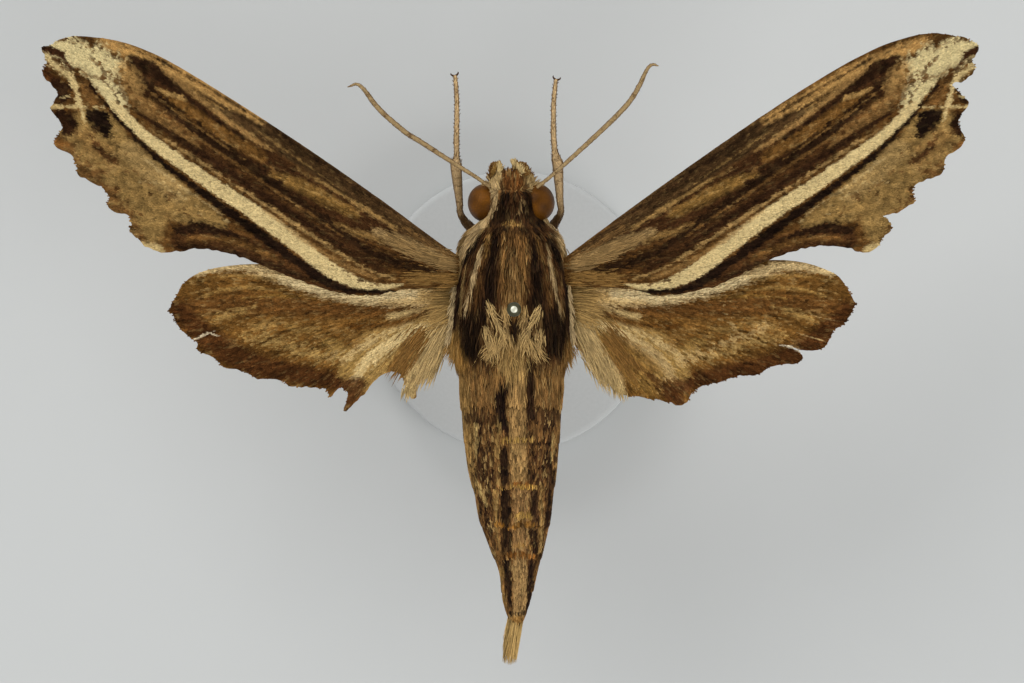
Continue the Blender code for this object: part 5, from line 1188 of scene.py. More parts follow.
BODY_HAIR = (
    # The thorax's rear fringe, longest at the flanks.
    HairRow(((-4.5, -2.4), (-3.6, -3.4), (-2.2, -3.7), (-0.8, -3.8)), 800, (0.8, 1.45), "#a58048",
            ((-0.5, -1), (0, -1)), 0.06, 0.1, 0.28, 0.16),
    HairRow(((4.1, -2.4), (3.3, -3.4), (2, -3.7), (0.6, -3.8)), 800, (0.8, 1.4), "#94713f", ((0.4, -1),
            (0, -1)), 0.06, 0.1, 0.28, 0.16),
    HairRow(((-1.1, -1.8), (-0.2, -2.5), (0.9, -1.8)), 200, (0.8, 1.4), "#a07d49", ((-0.2, -1), (0.2, -1)),
            0.08, 0.28, 0.35, 0.26),
    HairRow(((-1.6, -2.9), (-0.2, -3.3), (1, -3)), 180, (0.7, 1.3), "#ad8d55", ((-0.3, -1), (0.3, -1)), 0.08,
            0.35, 0.3, 0.3),
    # Cream combs along the outer and inner edges of the shoulder covers.
    HairRow(((-4.25, 3.2), (-4.4, 1.2), (-4.55, -0.6), (-4.75, -1.8)), 210, (0.8, 1.3), "#c2a97c",
            ((-0.3, -1), (-0.45, -1)), band=0.07, lift=0.2),
    HairRow(((3.95, 3.4), (4.1, 1.4), (4.2, -0.6), (4.3, -1.8)), 210, (0.8, 1.3), "#bda377", ((0.2, -1),
            (0.3, -1)), band=0.07, lift=0.2),
    HairRow(((-2.35, 4.9), (-2.75, 3.4), (-3.2, 1.8), (-3.45, 0.9)), 170, (0.5, 0.85), "#b89d70", ((-0.3, -1),
            (-0.3, -1)), 0.09, 0.3, 0.05),
    HairRow(((2.4, 4.9), (2.75, 3.2), (3.05, 1.7), (3.2, 0.9)), 170, (0.5, 0.85), "#ab9065", ((0.2, -1),
            (0.25, -1)), 0.09, 0.3, 0.05),
    # Tan tufts behind the pin, combed towards the middle and then fanned apart.
    HairRow(((-2, 0.7), (-1.6, -0.4), (-1, -1.4)), 95, (0.5, 1.1), "#c6a66d", ((0.4, -1), (0.45, -1)), 0.07,
            0.3, 0.13, 0.2, 0.22),
    HairRow(((2, 0.4), (1.6, -0.6), (1, -1.6)), 95, (0.5, 1.1), "#c6a66d", ((-0.4, -1), (-0.45, -1)), 0.07,
            0.3, 0.13, 0.2, 0.22),
    HairRow(((-0.75, 0.3), (-0.6, -0.8)), 45, (0.5, 1.1), "#b8965f", ((0.15, -1), (0.3, -1)), 0.07, 0.3, 0.1,
            0.2, 0.2),
    HairRow(((0.85, 0.3), (0.7, -0.8)), 45, (0.5, 1.1), "#b8965f", ((-0.15, -1), (-0.3, -1)), 0.07, 0.3, 0.1,
            0.2, 0.2),
    HairRow(((-2.2, -1.2), (-1.95, -2.1), (-1.5, -2.9)), 80, (0.5, 1.1), "#c2a26a", ((0.35, -1), (0.1, -1)),
            0.07, 0.3, 0.16, 0.22, 0.24),
    HairRow(((-0.6, -1.7), (-1.2, -2.4), (-2, -3)), 110, (0.6, 1.2), "#bc9b63", ((-0.1, -1), (-0.6, -1)),
            0.07, 0.3, 0.25, 0.25, 0.26),
    HairRow(((0.5, -1.8), (1.2, -2.5), (2, -3)), 110, (0.6, 1.2), "#bc9b63", ((0.1, -1), (0.6, -1)), 0.07,
            0.3, 0.25, 0.25, 0.26),
    HairRow(((2.05, -1.4), (1.95, -2.3)), 40, (0.5, 1), "#c2a26a", ((-0.2, -1), (0.1, -1)), 0.07, 0.3, 0.16,
            0.22, 0.24),
    # Cream lines from the feelers back over the collar to the shoulders.
    HairRow(((-1.5, 9), (-1.45, 8.2), (-1.75, 7.4), (-2.2, 6.6)), 200, (0.35, 0.6), "#b89c6e", ((-0.25, -1),
            (-0.6, -1)), 0.09, 0.4, 0.12),
    HairRow(((-2.4, 6.4), (-3, 5.6), (-3.9, 4.4)), 240, (0.5, 0.9), "#b0956a", ((-0.6, -1), (-0.3, -1)), 0.09,
            0.3, 0.18),
    HairRow(((1.5, 9), (1.8, 8.2), (2.05, 7.5), (2.4, 6.9)), 160, (0.35, 0.6), "#b09466", ((0.35, -1),
            (0.6, -1)), 0.09, 0.35, 0.08),
    HairRow(((2.5, 6.6), (3.1, 5.8), (3.75, 4.4)), 200, (0.5, 0.9), "#a88d62", ((0.5, -1), (0.2, -1)), 0.09,
            0.3, 0.14),
    HairRow(((-0.7, 6.75), (-0.1, 6.85), (0.4, 6.75)), 70, (0.3, 0.5), "#8f6c38", ((-0.3, -1), (0.3, -1)),
            0.07, 0.4, 0.08),
    # Ragged crests over the palps, cream inside and brown outside.
    HairRow(((-1.75, 9.7), (-1.55, 10.2), (-1.3, 10.6)), 170, (0.35, 0.75), "#6a4722", ((-0.5, 1), (0.1, 1)),
            0.1, 0.3, 0.08, 0.3),
    HairRow(((-1.4, 9.7), (-1.2, 10.2), (-1.1, 10.5)), 200, (0.35, 0.8), "#b89c68", ((-0.2, 1), (0, 1)), 0.1,
            0.35, 0.1, 0.3, 0.05),
    HairRow(((1.25, 9.7), (1, 10.2), (0.5, 10.6)), 190, (0.35, 0.7), "#6a4722", ((0.5, 1), (0.1, 1)), 0.1,
            0.3, 0.08, 0.3),
    HairRow(((1, 9.7), (0.6, 10.3), (0.1, 10.7)), 240, (0.35, 0.8), "#ab8e5a", ((0.3, 1), (-0.1, 1)), 0.1,
            0.35, 0.12, 0.3, 0.05),
    # Ragged tips over the palps' ends.
    HairRow(((-1.6, 10.2), (-1.4, 10.65), (-1.2, 11)), 120, (0.2, 0.4), "#80602f", ((-0.4, 1), (0.1, 1)),
            0.08, 0.1, 0.07, 0.35, 0.45),
    HairRow(((-1.15, 10.3), (-1.08, 10.7), (-1.1, 11)), 120, (0.2, 0.4), "#c3a873", ((0.2, 1), (0, 1)), 0.08,
            0.1, 0.06, 0.3, 0.5),
    HairRow(((0.9, 10.2), (0.6, 10.65), (0.1, 11.05)), 150, (0.2, 0.4), "#74532a", ((0.4, 1), (0, 1)), 0.08,
            0.1, 0.07, 0.35, 0.45),
    HairRow(((0.6, 10.3), (0.3, 10.8), (-0.1, 11.15)), 130, (0.25, 0.5), "#c3a873", ((0, 1), (-0.2, 1)), 0.08,
            0.1, 0.06, 0.3, 0.5),
    # Tufts at the feelers' roots, and the face.
    HairRow(((-1.9, 9), (-1.5, 9.4), (-1.2, 9.8)), 170, (0.4, 0.75), "#b89c6a", ((-0.9, 0.3), (-0.2, 1)), 0.1,
            0.5, 0.16),
    HairRow(((1.7, 9), (1.35, 9.4), (1.05, 9.7)), 150, (0.4, 0.7), "#b89c6a", ((1, 0.3), (0.4, 1)), 0.1, 0.5,
            0.14),
    HairRow(((-0.7, 9.4), (-0.1, 9.6), (0.6, 9.4)), 150, (0.25, 0.45), "#6a4220", ((-0.2, 1), (0.2, 1)), 0.1,
            0.4, 0.2),
)


@dataclass
class Body:
    """Head, thorax and abdomen as one skin under a coat of hair and scales."""

    power: float = 2.2  # how square its cross-section is: 2 is an ellipse
    ring_step: float = 0.05
    skin_rings: int = 300
    skin_sides: int = 120
    widest: float = 4.4  # the half width at which the coat is densest
    underside: Markings = Markings("#8c6a3c", (), 90.0, 0.3, 0.3, seed=72)
    table: Array = field(init=False)

    def __post_init__(self) -> None:
        """Smooths the stations once, because every part of the body uses them."""
        self.table = smooth_path(np.array(BODY_STATIONS), 8)

    def ring(self, y: Array) -> Array:
        """Middle x and z, half width, height above and height below at each y."""
        found = np.stack([np.interp(y, self.table[:, 0], self.table[:, k]) for k in range(1, 6)], axis=1)
        for edge in RING_EDGES:
            step = np.clip((y - edge) / 0.15, 0, 1) * np.clip(1 - (y - edge) / 2.4, 0, 1)
            found[:, 2:] += self.ring_step * step[:, None]
        return found

    def surface(self, y: Array, turn: Array) -> Array:
        """Skin points at each y and turn about the body, with a turn of zero at its right side."""
        middle, level, wide, above, below = self.ring(y).T
        cos, sin = np.cos(turn), np.sin(turn)
        out = np.sign(cos) * np.abs(cos) ** (2 / self.power) * wide
        rise = np.sign(sin) * np.abs(sin) ** (2 / self.power) * np.where(sin > 0, above, below)
        return np.stack([middle + out, y, level + rise], axis=1)

    def normal(self, y: Array, turn: Array) -> Array:
        """Unit directions straight out of the skin."""
        along = self.surface(y + 0.1, turn) - self.surface(y - 0.1, turn)
        around = self.surface(y, turn + 0.04) - self.surface(y, turn - 0.04)
        return unit(np.cross(along, around))

    def top(self, points: Array) -> Array:
        """The upper skin's height at plan points, held at its flank's height beyond it."""
        middle, level, wide, above, _ = self.ring(points[:, 1]).T
        out = np.clip(np.abs(points[:, 0] - middle) / wide, 0, 0.985)
        return level + above * (1 - out ** self.power) ** (1 / self.power)

    def unwrap(self, y: Array, turn: Array) -> Array:
        """Bake map places: round the body from its underside, and along it."""
        low, high = BODY_STATIONS[0][0], BODY_STATIONS[-1][0]
        return np.stack([(turn / (2 * math.pi) + 0.25) % 1.0, (y - low) / (high - low)], axis=1)

    def plan_unwrap(self, points: Array) -> Array:
        """Bake map places of plan points on the back."""
        middle, _, wide, _, _ = self.ring(points[:, 1]).T
        turn = np.arccos(np.clip((points[:, 0] - middle) / wide, -1, 1))
        return np.clip(self.unwrap(points[:, 1], turn), 0, 1)

    def colours(self, points: Array, normals: Array) -> Array:
        """The back's markings where the skin faces up, and the plain underside elsewhere."""
        share = np.clip((normals[:, 2:] + 0.35) / 0.3, 0, 1)
        flat = points[:, :2]
        plain = self.underside.colours(np.stack([points[:, 2], flat[:, 1]], axis=1))
        return share * BODY_MARKINGS.colours(flat) + (1 - share) * plain

    def skin(self) -> None:
        """The closed skin from tail to face."""
        low, high = BODY_STATIONS[0][0], BODY_STATIONS[-1][0]
        count, sides = self.skin_rings, self.skin_sides
        along, turn = np.meshgrid(np.linspace(low, high, count), np.arange(sides) / sides, indexing="ij")
        y, turn = along.ravel(), turn.ravel() * 2 * math.pi
        points, faces = loft(self.surface(y, turn).reshape(count, sides, 3))
        normals = np.vstack([self.normal(y, turn), [[0, -1, 0], [0, 1, 0]]])
        made = make_mesh("body_skin", points, faces, self.colours(points, normals), ring_unwrap(count, sides))
        dress(made, HAIR, "body_scales")
        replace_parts(made, "head", "thorax", "abdomen")

    def coat(self, name: str, slot: str, count: int, reach: tuple[float, float], seed: int,
             shape: LockShape) -> None:
        """One stretch of the coat.

        Args:
            name: the piece's name.
            slot: the record's slot, which is not used.
            count: how many locks.
            reach: the lowest and highest y of their roots.
            seed: seeds the stretch.
            shape: hair or scales.
        """
        rng = np.random.default_rng(seed)
        y = rng.uniform(*reach, count * 4)
        turn = rng.uniform(0, 2 * math.pi, count * 4)
        weight = self.ring(y)[:, 2] / self.widest * np.where(np.sin(turn) > -0.25, 1.0, 0.45)
        kept = np.flatnonzero(rng.random(len(y)) < weight)[:count]
        y, turn = y[kept], turn[kept]
        roots, normals = self.surface(y, turn), self.normal(y, turn)
        stations = np.array(COAT_STATIONS)
        length, width, lift = (np.interp(y, stations[:, 0], stations[:, k]) for k in (1, 2, 3))
        length = length * rng.uniform(0.7, 1.25, len(y))
        face = np.clip((y - 8.8) / 0.5, 0, 1)
        splay = 0.16 * normals[:, 0] * np.interp(y, (-6, -3, 5), (0.0, 1.0, 1.0))
        flow = np.stack([splay, 2 * face - 1, -0.3 * face], axis=1) + rng.normal(0, 0.13, (len(y), 3))
        flow = unit(flow - np.sum(flow * normals, axis=1, keepdims=True) * normals)
        ways = unit(flow + normals * lift[:, None])
        shades = self.colours(roots + flow * length[:, None] * 0.35, normals)
        shades = shades * rng.uniform(0.75, 1.3, (len(y), 1))
        locks = Locks(roots + normals * 0.01, ways, normals, length, width * rng.uniform(0.7, 1.3, len(y)),
                      shades, self.unwrap(y, turn), curl=-0.1)
        locks.build(name, HAIR, slot, shape)

    def build(self) -> None:
        """Builds the skin, its coat and its rows of longer hair."""
        self.skin()
        self.coat("abdomen_coat", "abdomen_scales", 12300, (-23.9, -6.0), 81, LockShape.SCALE)
        self.coat("thorax_coat_rear", "body_scales", 7000, (-6.2, 1.5), 82, LockShape.HAIR)
        self.coat("thorax_coat_front", "body_scales", 6000, (1.2, 6.8), 83, LockShape.HAIR)
        self.coat("head_coat", "body_scales", 3600, (6.6, 10.45), 84, LockShape.HAIR)
        rng = np.random.default_rng(85)
        rows = [row.locks(self.top, 1, self.plan_unwrap, rng) for row in BODY_HAIR]
        Locks.joined(rows).build("body_tufts", HAIR, "body_scales")


@dataclass(frozen=True)
class Limb:
    """A leg, feeler, palp or tongue: a tube of cuticle with a coat of locks that lie along it."""

    name: str
    path: Path
    shade: str
    speck: str
    coat: int
    lock: tuple[float, float]
    slot: str = "limb"
    flat: float = 1.0
    nodes: float = 0.0  # spacing of its joints, as ridges round it
    lift: float = 0.2
    seed: int = 1
    side: tuple[float, float, float] | None = None
    hooks: float = 0.0
    comb: tuple[float, float, float] = (0.0, 0.0, 0.0)  # a lean of the coat that is not along the limb
    dark_root: float = 0.0  # the share of its length, from the body, that takes the speck's colour
    spines: int = 0
    stray: float = 0.08

    def tube(self) -> Tube:
        """The limb's tube, finely stepped and ridged at its joints."""
        path = resample(smooth_path(np.array(self.path), 8), LIMB_STEP)
        path[:, 3] = np.maximum(path[:, 3], 0.03)
        if self.nodes:
            along = np.arange(len(path)) * LIMB_STEP
            path[:, 3] *= 1 + 0.10 * np.cos(along / self.nodes * 2 * math.pi)
        return Tube.along(path, self.side)

    def colours(self, along: Array, lit: Array, rng: np.random.Generator) -> Array:
        """Colours of points on the limb: ground with specks, painted shade on its sides and underside, darker
        near the body.

        Args:
            along: each point's step along the limb.
            lit: how far each point faces up, from -1 to 1.
            rng: the seeded source of chance.

        Returns:
            Linear colours, one row a point.
        """
        places = np.stack([along * LIMB_STEP, rng.random(len(along)) * 2], axis=1)
        spots = grain(places, (0.3, 0.7), self.seed)
        # Painted shade: the less a point faces up, the darker it is.
        sides = np.clip((0.85 - lit) / 0.5, 0, 0.85)
        root = np.clip((self.dark_root - along / along.max()) / 0.04, 0, 0.9)
        share = np.maximum(np.maximum(np.clip(spots * 1.6 - 0.35, 0, 0.85), sides), root)[:, None]
        return (1 - share) * linear(self.shade) + share * linear(self.speck)

    def build(self) -> None:
        """Builds the tube, its coat and its claws."""
        rng = np.random.default_rng(self.seed)
        tube = self.tube()
        sides = 14
        rings = tube.rings(sides, self.flat)
        points, faces = loft(rings)
        along = np.append(np.repeat(np.arange(len(rings)), sides), (0, len(rings) - 1))
        middles = tube.path[along, :3]
        shade = self.colours(along, unit(points - middles + 1e-6)[:, 2], rng) * 0.8
        made = make_mesh(self.name + "_core", points, faces, shade, ring_unwrap(len(rings), sides))
        dress(made, CUTICLE, self.slot)
        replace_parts(made, self.name)
        place = rng.uniform(0.02, 0.98, self.coat) * (len(rings) - 1)
        row = np.minimum(place.astype(int), len(rings) - 2)
        turn = rng.uniform(0, 2 * math.pi, self.coat)
        out = tube.side[row] * np.cos(turn)[:, None] + tube.up[row] * np.sin(turn)[:, None] * self.flat
        middle = tube.path[row, :3] + (tube.path[row + 1, :3] - tube.path[row, :3]) * (place - row)[:, None]
        ahead = unit(tube.path[row + 1, :3] - tube.path[row, :3])
        roots = middle + out * tube.path[row, 3:4] * 0.96
        length = rng.uniform(*self.lock, self.coat)
        lean = np.array(self.comb) + unit(out) * self.lift
        ways = unit(ahead + lean + rng.normal(0, self.stray, out.shape))
        shades = self.colours(row, unit(out)[:, 2], rng) * rng.uniform(0.75, 1.3, (self.coat, 1))
        places = np.stack([turn / (2 * math.pi), place / (len(rings) - 1)], axis=1)
        coat = Locks(roots, ways, unit(out), length, length * 0.3, shades, places, -0.05)
        Locks.joined([coat, self.bristles(tube)]).build(self.name + "_coat", HAIR, self.slot, LockShape.SCALE)
        if self.hooks:
            self.claws(tube)

    def bristles(self, tube: Tube) -> Locks:
        """Short dark spines in two rows along the foot, which is the limb's outer half."""
        rng = np.random.default_rng(self.seed + 5)
        last = len(tube.path) - 2
        row = np.linspace(last * 0.52, last, self.spines).astype(int)
        out = tube.side[row] * np.where(np.arange(self.spines) % 2, 1.0, -1.0)[:, None]
        ahead = unit(tube.path[row + 1, :3] - tube.path[row, :3])
        roots = tube.path[row, :3] + out * tube.path[row, 3:4] * 0.8
        length = rng.uniform(0.12, 0.24, self.spines)
        shades = np.tile(linear(self.speck) * 0.7, (self.spines, 1))
        places = np.stack([np.full(self.spines, 0.25), row / last], axis=1)
        return Locks(roots, unit(ahead + 0.8 * out), tube.up[row], length, length * 0.22, shades, places, 0.0)

    def claws(self, tube: Tube) -> None:
        """A pair of small dark hooks at the foot's end."""
        end, ahead = tube.path[-1, :3], unit(tube.path[-1, :3] - tube.path[-3, :3])
        for number, turn in enumerate((-1, 1)):
            side = tube.side[-1] * turn
            share = np.linspace(0, 1, 9)[:, None]
            reach = ahead * share * 0.75 + side * np.sin(share * 2.0) * 0.75 - tube.up[-1] * share ** 2 * 0.35
            path = np.hstack([end - ahead * 0.08 + reach * self.hooks, 0.1 * (1 - 0.7 * share)])
            points, faces = loft(Tube.along(path).rings(8))
            claw = make_mesh(f"{self.name}_claw_{number}", points, faces)
            dress(claw, CLAW, self.slot)


# The legs hidden below the body: reach from its middle, y, z and radius from root to tip.
HIDDEN_LEGS: dict[str, Path] = {
    "midleg": (
        (2, 1.9, 21.6, 0.4), (3, 0.9, 20.1, 0.42), (3.7, -0.6, 20.2, 0.32), (3.4, -3.4, 20, 0.34),
        (3, -6.6, 20.1, 0.28), (2.7, -9.4, 20.3, 0.2), (2.2, -13.4, 20.7, 0.16)),
    "hindleg": (
        (1.25, -1.5, 21.4, 0.42), (1.5, -3, 19.8, 0.44), (1.7, -5.2, 19.7, 0.32), (1.6, -8.6, 19.9, 0.34),
        (1.3, -12.2, 20.4, 0.28), (1, -15.6, 20.9, 0.2), (0.5, -19.4, 21.7, 0.16)),
}


def hidden_leg(side: Side, steps: Path) -> Path:
    """A hidden leg's path in true X, on one side of the body's middle."""
    return tuple((BODY_MIDDLE + side.value * reach, y, z, radius) for reach, y, z, radius in steps)


# Legs, feelers and palps as x, y, z and radius from root to tip.
LEG_PATHS: dict[str, Path] = {
    "foreleg_left": (
        (-2.7, 5.9, 20.9, 0.42), (-3.4, 6.4, 21.5, 0.36), (-4.05, 7.3, 22.3, 0.24), (-4.15, 8.2, 22.8, 0.27),
        (-4.35, 10.2, 23.1, 0.4), (-4.42, 11.2, 23.2, 0.42), (-4.36, 11.6, 23.2, 0.22),
        (-4.38, 13, 23.3, 0.2), (-4.35, 15.8, 23.3, 0.17), (-4.45, 17.5, 23.2, 0.14),
        (-4.5, 17.9, 23.2, 0.13)),
    "foreleg_right": (
        (2.4, 5.9, 20.9, 0.42), (3, 6.5, 21.5, 0.36), (3.55, 7.45, 22.3, 0.24), (3.5, 8.4, 22.8, 0.27),
        (3.38, 10.4, 23.1, 0.38), (3.3, 11.3, 23.2, 0.4), (3.12, 12, 23.2, 0.22), (3.02, 13.4, 23.3, 0.2),
        (3.02, 15.6, 23.3, 0.17), (3.15, 17.2, 23.2, 0.14), (3.22, 17.6, 23.2, 0.13)),
    **{f"{name}_{side.label}": hidden_leg(side, steps)
       for side in Side for name, steps in HIDDEN_LEGS.items()},
}
ANTENNA_PATHS: dict[str, Path] = {
    "antenna_left": (
        (-1.85, 9.35, 26.4, 0.13), (-3, 10.15, 26.8, 0.14), (-5, 11.4, 26.95, 0.17), (-7, 12.7, 27, 0.19),
        (-8, 13.3, 27, 0.19), (-9, 14.1, 26.9, 0.19), (-10, 15, 26.85, 0.19), (-10.7, 15.8, 26.8, 0.18),
        (-11.2, 16.5, 26.7, 0.16), (-11.6, 16.95, 26.65, 0.13), (-11.95, 17.12, 26.6, 0.1),
        (-12.3, 17.02, 26.5, 0.07), (-12.6, 16.9, 26.4, 0.04)),
    "antenna_right": (
        (1.75, 9.3, 26.4, 0.13), (3, 10.3, 26.8, 0.14), (5, 12.1, 26.95, 0.17), (7, 13.95, 27, 0.19),
        (8, 14.95, 26.95, 0.19), (8.6, 15.6, 26.9, 0.19), (9.1, 16.3, 26.85, 0.18), (9.6, 17.2, 26.75, 0.17),
        (9.95, 18, 26.7, 0.14), (10.25, 18.45, 26.6, 0.11), (10.55, 18.6, 26.5, 0.08),
        (10.95, 18.5, 26.4, 0.04)),
}
PALP_PATHS: dict[str, Path] = {
    "palp_left": (
        (-1.45, 9.25, 22.45, 0.34), (-1.42, 10, 22.75, 0.42), (-1.4, 10.55, 23.75, 0.46),
        (-1.34, 10.55, 24.9, 0.3), (-1.2, 10.8, 25.6, 0.12), (-1.16, 11.05, 26, 0.04)),
    "palp_right": (
        (0.72, 9.25, 22.45, 0.34), (0.66, 10, 22.75, 0.42), (0.62, 10.55, 23.75, 0.48),
        (0.48, 10.55, 24.9, 0.34), (0.12, 10.85, 25.6, 0.13), (-0.04, 11.15, 26, 0.04)),
}


def all_limbs() -> list[Limb]:
    """Every leg, feeler and palp, and the coiled tongue."""
    limbs = []
    for number, (name, path) in enumerate(LEG_PATHS.items()):
        limbs.append(Limb(name, path, "#c3a476", "#553a1c", 1250, (0.16, 0.3), lift=0.06, seed=90 + number,
                          hooks=0.38, dark_root=0.2, spines=44))
    for number, (name, path) in enumerate(ANTENNA_PATHS.items()):
        limbs.append(Limb(name, path, "#a58b60", "#563819", 1500, (0.1, 0.2), flat=1.1, nodes=0.22, lift=0.06,
                          seed=100 + number))
    for number, (name, path) in enumerate(PALP_PATHS.items()):
        limbs.append(Limb(name, path, "#b39762", "#6e4a22", 1100, (0.2, 0.42), "body_scales", lift=0.4,
                          stray=0.25, seed=110 + number, side=(1.0, 0.0, 0.0), comb=(0.0, 1.6, 0.1)))
    share = np.linspace(0, 1, 60)
    turn, radius = 2.6 * math.pi * share, 1.1 - 0.68 * share
    coil = np.stack([0 * share - 0.38, 8.3 - radius * np.sin(turn), 21.25 + radius * np.cos(turn),
                     0.22 - 0.12 * share], axis=1)
    limbs.append(Limb("proboscis", tuple(map(tuple, coil)), "#7a4a20", "#4a2a12", 300, (0.08, 0.14),
                      nodes=0.18, lift=0.05, seed=120, side=(1.0, 0.0, 0.0)))
    return limbs


@dataclass(frozen=True)
class Details:
    """The eyes, the tail's brush, the pin and the stand."""

    eye_radii: tuple[float, float, float] = (1.32, 1.45, 1.65)
    eye_middle: tuple[float, float, float] = (-0.21, 8.15, 25.1)
    eye_reach: float = 1.98
    tail_locks: int = 480
    tail_radius: float = 0.58
    pin_top: float = 39.2
    pin_head: float = 0.55
    pin_radius: float = 0.28
    stand_radius: float = 11.0
    stand_height: float = 4.5
    stand_edge: float = 0.5  # the radius of its softened edges

    def eyes(self) -> None:
        """Two large domed eyes with a fine facet relief, and painted shade down their sides."""
        turns = np.linspace(0.0, math.pi, 60)[1:-1]
        profile = np.stack([np.sin(turns), np.cos(turns)], axis=1)
        ball = turned(profile, 90)
        for side in Side:
            middle = np.array(self.eye_middle) + (side.value * self.eye_reach, 0, 0)
            points, faces = loft(ball * np.array(self.eye_radii) + middle)
            cloud = grain(points[:, :2], (0.8, 0.6), 140)
            # Painted shade: each eye darkens from its top down its sides.
            rim = np.clip(1 - (points[:, 2] - middle[2]) / self.eye_radii[2], 0, 1) ** 2
            shade = linear("#54320a") * np.exp(0.45 * cloud - 1.1 * rim)[:, None]
            made = make_mesh(f"eye_{side.label}_dome", points, faces, shade)
            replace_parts(made, f"eye_{side.label}")
            dress(made, EYE, "eye")

    def tail(self) -> None:
        """The brush of long pale hair at the abdomen's end."""
        rng = np.random.default_rng(130)
        count = self.tail_locks
        turn = rng.uniform(0, 2 * math.pi, count)
        reach = np.sqrt(rng.random(count)) * self.tail_radius
        share = np.clip(reach * np.cos(turn) / self.tail_radius + rng.normal(0, 0.25, count), -1, 1)
        roots = np.stack([0.16 + reach * np.cos(turn), rng.uniform(-23.7, -22.9, count),
                          24.3 + reach * np.sin(turn)], axis=1)
        tips = np.stack([-0.36 + 0.52 * share,
                         -27.05 + 0.2 * np.abs(share) + 1.9 * rng.random(count) ** 2.2,
                         24.15 + reach * np.sin(turn) * 0.7], axis=1)
        gap = tips - roots
        length = np.linalg.norm(gap, axis=1)
        shades = linear("#c7a466") * rng.uniform(0.35, 1.3, (count, 1))
        places = np.stack([turn / (2 * math.pi), rng.random(count)], axis=1)
        ups = np.tile((0.0, 0.0, 1.0), (count, 1))
        locks = Locks(roots, unit(gap), ups, length, rng.uniform(0.045, 0.09, count), shades, places, -0.02)
        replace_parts(locks.build("tail_brush", HAIR, "tuft"), "tail_tuft")

    def pin(self) -> None:
        """The insect pin, with a round head that has tarnished, and a painted highlight as a pale spot on its
        top.
        """
        turns = np.linspace(0.02, math.pi - math.asin(self.pin_radius / self.pin_head), 40)
        middle = self.pin_top - self.pin_head
        head = np.stack([self.pin_head * np.sin(turns), middle + self.pin_head * np.cos(turns)], axis=1)
        shaft = np.array([(self.pin_radius, z) for z in np.linspace(middle - 0.6, 2.8, 60)])
        profile = np.vstack([head, shaft, [(0.16, 1.9), (0.03, 1.2)]])
        points, faces = loft(turned(profile, 40))
        off_axis = np.linalg.norm(points[:, :2], axis=1)
        # Painted highlight: a pale spot on the top of the head.
        painted_highlight = np.clip((0.26 - off_axis) / 0.03, 0, 1) * (points[:, 2] > middle)
        above = np.clip((points[:, 2] - middle + 0.5) / 0.1, 0, 1)
        shade = linear("#77756a") * (1 - above[:, None]) + linear("#3a3820") * above[:, None]
        shade += painted_highlight[:, None] * (linear("#d5d4c0") - shade)
        made = make_mesh("pin_wire", points, faces, shade)
        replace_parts(made, "pin")
        dress(made, PIN, "pin")

    def stand(self) -> None:
        """The plain round stand, turned with softened edges and a hole for the pin."""
        edge = np.linspace(0, math.pi / 2, 8)
        out, up = self.stand_edge * np.sin(edge), self.stand_edge * np.cos(edge)
        flat, level = self.stand_radius - self.stand_edge, self.stand_height - self.stand_edge
        top = np.stack([flat + out, level + up], axis=1)
        foot = np.stack([flat + up, self.stand_edge - out], axis=1)
        hole = np.array([(0.02, 0.95), (0.55, 0.9), (0.58, 0.95), (0.58, self.stand_height - 0.08),
                         (0.66, self.stand_height)])
        points, faces = loft(turned(np.vstack([hole, top, foot]), 160))
        made = make_mesh("stand_disc", points, faces)
        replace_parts(made, "stand_base")
        dress(made, STAND, "stand")

    def build(self) -> None:
        """Builds every detail."""
        self.eyes()
        self.tail()
        self.pin()
        self.stand()


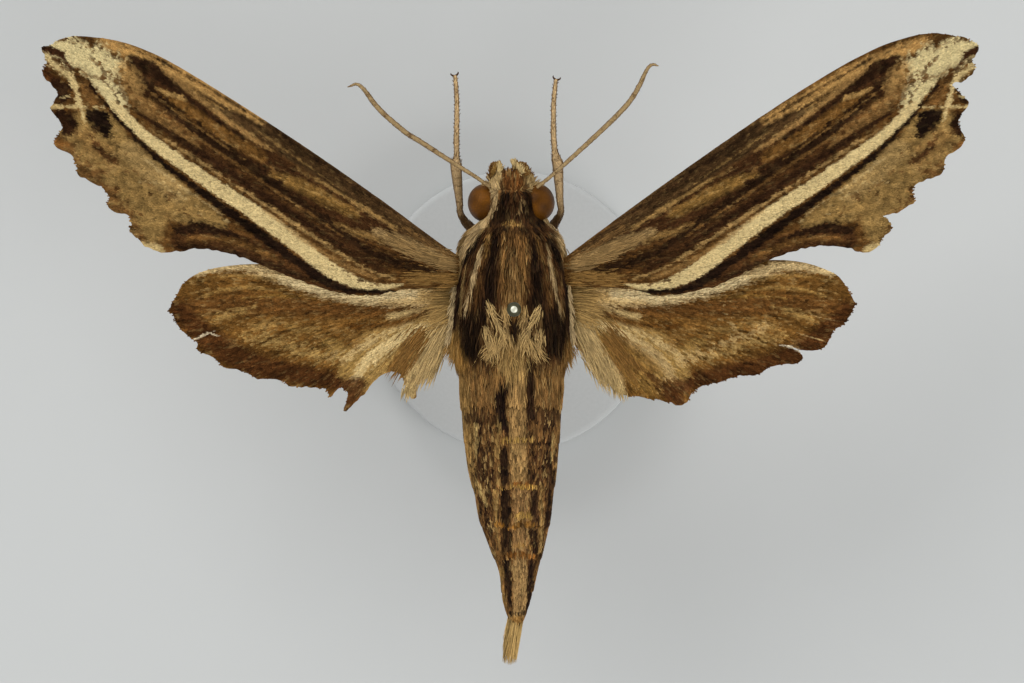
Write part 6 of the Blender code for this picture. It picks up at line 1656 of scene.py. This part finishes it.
@dataclass(frozen=True)
class Studio:
    """The floor, the lights and the camera that looks down on the moth as the photograph does."""

    view_centre: tuple[float, float] = (-0.15, -2.38)
    view_width: float = 77.5  # what the frame takes in at the wings
    wing_level: float = 27.2
    distance: float = 620.0
    floor_half: float = 1500.0

    def floor(self) -> None:
        """A plain pale card under the stand."""
        h = self.floor_half
        points = np.array([(-h, -h, -0.02), (h, -h, -0.02), (h, h, -0.02), (-h, h, -0.02)])
        mesh = bpy.data.meshes.new("floor")
        mesh.from_pydata((points * MM).tolist(), [], [(0, 1, 2, 3)])
        mesh.materials.append(BACKDROP.material())
        made = bpy.data.objects.new("floor", mesh)
        bpy.context.scene.collection.objects.link(made)

    def lamp(self, name: str, place: tuple[float, float, float], size: float, power: float) -> None:
        """A soft square light, aimed at the moth's thorax."""
        light = bpy.data.lights.new(name, "AREA")
        light.size, light.energy = size * MM, power
        made = bpy.data.objects.new(name, light)
        made.location = Vector(place) * MM
        made.rotation_euler = (Vector((0, 0, 26)) * MM - made.location).to_track_quat("-Z", "Y").to_euler()
        bpy.context.scene.collection.objects.link(made)

    def camera(self) -> None:
        """A long lens straight above, framed as the photograph is."""
        lens = bpy.data.cameras.new("camera")
        lens.sensor_width = 36.0
        lens.lens = lens.sensor_width * self.distance / self.view_width
        lens.clip_start, lens.clip_end = 0.05, 20.0
        made = bpy.data.objects.new("camera", lens)
        made.location = Vector((*self.view_centre, self.wing_level + self.distance)) * MM
        bpy.context.scene.collection.objects.link(made)
        bpy.context.scene.camera = made

    def build(self) -> None:
        """Sets up the whole studio."""
        self.floor()
        self.lamp("key_light", (-230, 330, 400), 360, 1.5)
        self.lamp("fill_light", (300, -260, 380), 360, 1.18)
        world = bpy.data.worlds.new("studio")
        world.use_nodes = True
        tree = world.node_tree
        rise = add_node(tree, "SeparateXYZ", links={0: add_node(tree, "TexCoord").outputs["Generated"]})
        fall = {"From Min": 0.45, "From Max": 0.85, "To Min": 1.22, "To Max": 0.34}
        glow = add_node(tree, "MapRange", fall, {"Value": rise.outputs["Z"]})
        sky = tree.nodes["Background"]
        sky.inputs["Color"].default_value = (1.0, 1.0, 1.0, 1.0)
        tree.links.new(glow.outputs[0], sky.inputs["Strength"])
        bpy.context.scene.world = world
        bpy.context.scene.view_settings.view_transform = "Standard"
        self.camera()
        LOG.info("studio: floor, two lamps, sky and camera")


def main() -> None:
    """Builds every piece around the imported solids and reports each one."""
    logging.basicConfig(level=logging.INFO, format="%(message)s")
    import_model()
    Body().build()
    for wing in all_wings():
        wing.build()
    for limb in all_limbs():
        limb.build()
    Details().build()
    Studio().build()


if __name__ == "__main__":
    main()
